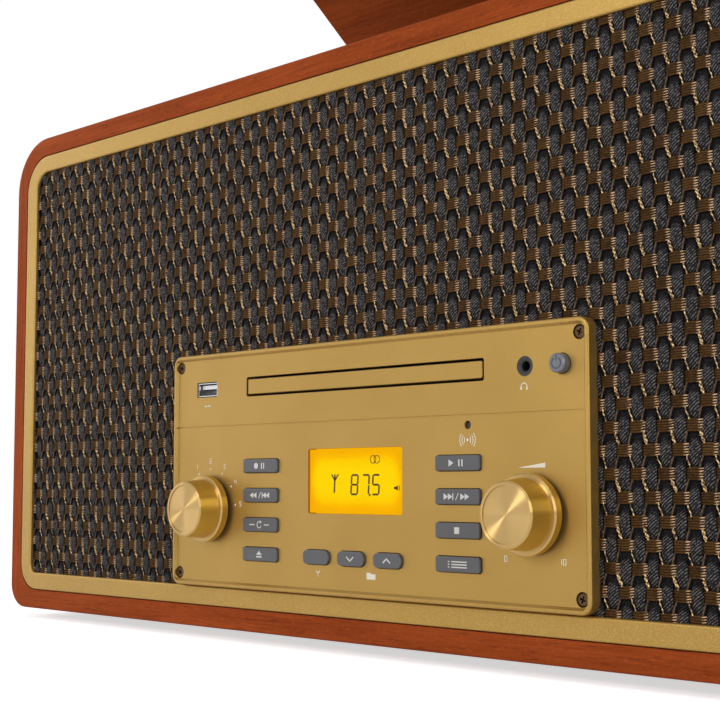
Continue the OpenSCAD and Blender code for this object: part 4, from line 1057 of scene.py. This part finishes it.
SIGNS = {
    "record_button": [disc(-2.2, 0, 1.25), block(1.3, 0, 0.6, 2.5), block(2.7, 0, 0.6, 2.5)],
    "skip_back_button": skip_signs(-1),
    "repeat_button": [bow(0, 0, 1.3, 0.4, 60, 340), triangle(1.05, 1.15, 1.4),
                      block(-4.6, 0, 3.2, 0.45), block(4.6, 0, 3.2, 0.45)],
    "eject_button": [[(-1.7, -0.2), (1.7, -0.2), (0, 1.45)], block(0, -1.0, 3.4, 0.6)],
    "play_button": [triangle(-2.6, 0, 2.6), block(1.2, 0, 0.65, 2.5), block(2.7, 0, 0.65, 2.5)],
    "skip_forward_button": skip_signs(1),
    "stop_button": [block(0, 0, 2.4, 2.4)],
    "program_button": [block(-4.0, z, 0.7, 0.45) for z in (-1.0, 0, 1.0)]
                      + [block(1.0, z, 7.4, 0.45) for z in (-1.0, 0, 1.0)],
    "folder_down_button": [stroke(-1.9, 0.8, 0, -0.8, 0.55), stroke(0, -0.8, 1.9, 0.8, 0.55)],
    "folder_up_button": [stroke(-1.9, -0.8, 0, 0.8, 0.55), stroke(0, 0.8, 1.9, -0.8, 0.55)],
}
for button, outlines in SIGNS.items():
    name = "sign_" + button.replace("_button", "")
    mark(name, outlines, front_middle(button), print_white, button)
mark("power_mark", [bow(0, 0, 1.9, 0.4, 120, 420, 22), block(0, 1.7, 0.4, 2.0)],
     front_middle("power_button"), print_dark, "power_button")
print("signs on", len(SIGNS) + 1, "buttons")

# %% [markdown]
# ## Marks on the panel
# The panel has cream prints: five places for the left knob, a wedge and the ends of the scale for
# the right one, and a sign at each socket, at the status light and under the pill buttons. All are
# given in millimetres right of the panel's middle and above its bottom edge, as one would
# measure them on the bench.

# %% Marks on the panel
FUNCTION_X, KNOB_Z = -88.6, 33.3
DIAL_ANGLES = (118, 90, 62, 34, 6)
DOTS_R, NUMBERS_R, NUMBER_H = 17.0, 20.4, 1.9
SOCKET_Z = 77.6

dial_marks = []
for number, angle in enumerate(DIAL_ANGLES, 1):
    dot, spot = (on_circle(FUNCTION_X, KNOB_Z, r, [math.radians(angle)])[0] for r in (DOTS_R, NUMBERS_R))
    dial_marks.append(disc(*dot, 0.42, 14))
    dial_marks += figures(str(number), *spot, NUMBER_H)
volume_marks = [[(82.5, 49.4), (94.5, 49.4), (94.5, 51.1)]]
volume_marks += figures("0", 76.7, 17.7, NUMBER_H) + figures("10", 101.5, 17.4, NUMBER_H)
socket_marks = [block(-90.7, SOCKET_Z, 3.0, 0.3), disc(-92.3, SOCKET_Z, 0.45, 14),
                stroke(-90.9, SOCKET_Z, -90.0, 78.4, 0.25), triangle(-89.0, SOCKET_Z, 0.9)]
socket_marks += [bow(85.5, SOCKET_Z, 1.35, 0.32, 0, 180), block(84.2, 77.2, 0.7, 1.3),
                 block(86.8, 77.2, 0.7, 1.3)]
LIGHT_SIGN = (59.2, 59.7)
link_marks = [bow(*LIGHT_SIGN, r, 0.3, a - 40, a + 40, 10) for r in (1.5, 2.6, 3.7) for a in (0, 180)]
link_marks.append(disc(*LIGHT_SIGN, 0.5, 14))
row_marks = [stroke(-20.0, 7.2, -20.0, 9.4, 0.3), stroke(-21.1, 9.6, -20.0, 8.3, 0.3),
             stroke(-18.9, 9.6, -20.0, 8.3, 0.3)]
row_marks += [[(7.4, 7.3), (12.2, 7.3), (12.2, 9.4), (9.9, 9.4), (9.4, 9.9), (7.4, 9.9)]]
face = Vector((0, FACE_Y, PANEL_Z))
PANEL_MARKS = {
    "dial_marks": dial_marks, "volume_marks": volume_marks, "socket_marks": socket_marks,
    "link_marks": link_marks, "row_marks": row_marks,
}
for name, outlines in PANEL_MARKS.items():
    mark(name, outlines, face, print_cream, "cabinet")
print(sum(map(len, PANEL_MARKS.values())), "outlines on the panel")


# %% [markdown]
# ## Lit screen
# Behind a clear window a screen glows amber, yellow in its middle and orange at its edges. A lamp
# behind a filter would light it as in the real one and take long to render. An emission whose colour
# follows the distance from the middle gives the same glow at once.


# %% Lit screen
def lit_screen(centre, half_w, half_h):
    finish = Finish("display_amber", roughness=0.6, specular=0.0)
    finish.set("Base Color", (0.004, 0.003, 0.001, 1))
    spot = finish.node("TexCoord").outputs["Object"]
    from_middle = finish.node("VectorMath", _0=spot, _1=tuple(centre))
    from_middle.operation = "SUBTRACT"
    across = finish.node("VectorMath", _0=from_middle.outputs[0], _1=(1 / half_w, 0, 1 / half_h))
    across.operation = "MULTIPLY"
    x, _, z = finish.node("SeparateXYZ", _0=across.outputs[0]).outputs
    up = finish.math("POWER", finish.math("ABSOLUTE", z), 2.0)
    out = finish.math("POWER", finish.math("ABSOLUTE", x), 9.0)
    ripple = finish.noise(finish.place(), 60.0, 1.0)
    far = finish.math("ADD", finish.math("ADD", up, out), finish.spread(ripple, 0.3, 0.7, -0.05, 0.05))
    glow = finish.ramp(far, (0.12, (1.0, 0.67, 0.002)), (0.42, (1.0, 0.60, 0.001)),
                       (0.62, (0.98, 0.48, 0.001)), (0.98, (0.92, 0.43, 0.001)))
    finish.link(glow, "Emission Color")
    finish.set("Emission Strength", 1.0)
    return finish


window_low, window_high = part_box("display_window")
half_w, half_h = (window_high.x - window_low.x) / 2, (window_high.z - window_low.z) / 2
wear(lit_screen((window_low + window_high) / 2, half_w, half_h), "display_module")
print("screen lit,", round(2 * half_w, 4), "x", round(2 * half_h, 4))

# %% [markdown]
# ## Window
# A thin clear sheet covers the screen. A glass surface would bend every ray through it and add
# noise. A see-through surface mixed with a faint gleam, stronger at a flat angle, looks the same.


# %% Window
def clear_window():
    finish = Finish("display_window", roughness=0.04, specular=0.5)
    smear = finish.noise(finish.place(), 120.0, 2.0)
    clear = finish.node("BsdfTransparent")
    shine = finish.node("BsdfGlossy", Roughness=finish.spread(smear, 0.3, 0.7, 0.03, 0.07))
    edge = finish.node("LayerWeight", Blend=0.12)
    gleam = finish.math("MULTIPLY", edge.outputs["Fresnel"], 0.03)
    both = finish.node("MixShader", _0=gleam, _1=clear.outputs[0], _2=shine.outputs[0])
    finish.feed(finish.tree.nodes["Material Output"].inputs["Surface"], both.outputs[0])
    return finish


wear(clear_window(), "display_window")
print("window set")

# %% [markdown]
# ## Reading on the display
# The screen shows a radio frequency: an aerial sign, three figures with a point, two linked rings for
# two-channel sound, and a small sound sign at the right edge. On the real screen they are dark
# segments in front of the glow. The functions for the printed marks make them too, as thin bars
# that lean a little to the right.

# %% Reading on the display
segment = moulded("segment_dark", (0.050, 0.018, 0.002), 0.8, 2500, 0.0, 0.1)
screen = Vector((0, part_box("display_module")[0].y, PANEL_Z))
LEAN = 0.07
reading = [stroke(-11.5, 40.3, -11.1, 47.6, 0.75), stroke(-13.0, 47.6, -11.2, 45.3, 0.6),
           stroke(-9.2, 47.6, -11.1, 45.3, 0.6)]
for char, cx in (("8", -0.05), ("7", 6.1), ("5", 11.7)):
    reading += digit(char, cx, 43.55, 3.5, 7.5, 0.76, 0.2, LEAN)
reading.append(disc(8.3, 39.6, 0.5, 12))
reading += [bow(x, 53.3, 1.5, 0.3, 0, 358, 24) for x in (10.2, 12.2)]
reading += [block(22.0, 42.3, 1.1, 0.9), triangle(22.5, 42.3, 2.0, -1),
            bow(22.9, 42.3, 1.4, 0.3, -40, 40, 8)]
mark("display_reading", reading, screen, segment, "cabinet", thick=0.1 * MM)
print("reading made of", len(reading), "outlines")

# %% [markdown]
# ## Floor
# Photographs of such goods are taken before white. A floor lit to pure white by lamps would also
# throw much light up at the object. So this one is pale and glows only for the rays by which it is
# seen, directly, mirrored or through the window, and it keeps the object's soft shadow.


# %% Floor
FLOOR_HALF = 6.0
FLOOR_GLOW = 0.62


def studio_floor():
    finish = Finish("studio_floor", roughness=0.8, specular=0.2)
    finish.set("Base Color", (0.86, 0.86, 0.86, 1))
    rays = finish.node("LightPath")
    seen = finish.math("MAXIMUM", rays.outputs["Is Camera Ray"], rays.outputs["Is Glossy Ray"])
    seen = finish.math("MAXIMUM", seen, rays.outputs["Is Transmission Ray"])
    finish.set("Emission Color", (1, 1, 1, 1))
    finish.link(finish.math("MULTIPLY", seen, FLOOR_GLOW), "Emission Strength")
    mesh = bpy.data.meshes.new("floor")
    corners = [(x * FLOOR_HALF, y * FLOOR_HALF, 0) for x, y in ((-1, -1), (1, -1), (1, 1), (-1, 1))]
    mesh.from_pydata(corners, [], [(0, 1, 2, 3)])
    mesh.materials.append(finish.material)
    put_in_scene("floor", mesh)


studio_floor()
print("floor laid,", 2 * FLOOR_HALF, "m wide")

# %% [markdown]
# ## World and lamps
# The light is soft and even, with a gleam that fans out over the knobs. A world of plain light fills
# the shadows, and it is white where it is seen. Three soft lamps give the shapes their shading. The
# one in front stands where its gleam falls on the knobs as in the photograph, a larger one lights
# from the right and a weak one from the left. A picture of a studio could do it all at once, but
# plain lamps are easy to move.

# %% World and lamps
def white_world(level):
    world = bpy.data.worlds.new("studio")
    world.use_nodes = True
    tree = world.node_tree
    tree.nodes.clear()
    rays = tree.nodes.new("ShaderNodeLightPath")
    seen = rays.outputs["Is Camera Ray"]
    for kind in ("Is Glossy Ray", "Is Transmission Ray"):
        most = tree.nodes.new("ShaderNodeMath")
        most.operation = "MAXIMUM"
        tree.links.new(seen, most.inputs[0])
        tree.links.new(rays.outputs[kind], most.inputs[1])
        seen = most.outputs[0]
    both = tree.nodes.new("ShaderNodeMixShader")
    tree.links.new(seen, both.inputs[0])
    for socket, strength in ((1, level), (2, 1)):
        white = tree.nodes.new("ShaderNodeBackground")
        white.inputs["Color"].default_value = (1, 1, 1, 1)
        white.inputs["Strength"].default_value = strength
        tree.links.new(white.outputs[0], both.inputs[socket])
    out = tree.nodes.new("ShaderNodeOutputWorld")
    tree.links.new(both.outputs[0], out.inputs["Surface"])
    bpy.context.scene.world = world


def lamp(name, place, aim, size, power):
    data = bpy.data.lights.new(name, "AREA")
    data.shape = "RECTANGLE"
    data.size, data.size_y = size
    data.energy = power
    made = put_in_scene(name, data)
    made.location = place
    made.rotation_euler = (Vector(aim) - Vector(place)).to_track_quat("-Z", "Y").to_euler()


white_world(0.42)
aim = (0.0, FACE_Y, 0.12)
lamp("front_lamp", (-0.42, -2.2, 0.90), aim, (0.45, 0.45), 14.5)
lamp("right_lamp", (1.9, -0.9, 0.9), aim, (1.2, 1.2), 15)
lamp("left_lamp", (-2.0, -0.8, 0.6), aim, (1.2, 1.4), 7)
bpy.context.scene.view_settings.view_transform = "Standard"
print("lamps lit")

# %% [markdown]
# ## Last update
# The view layer is brought up to date once more.

# %% Update the view layer
bpy.context.view_layer.update()
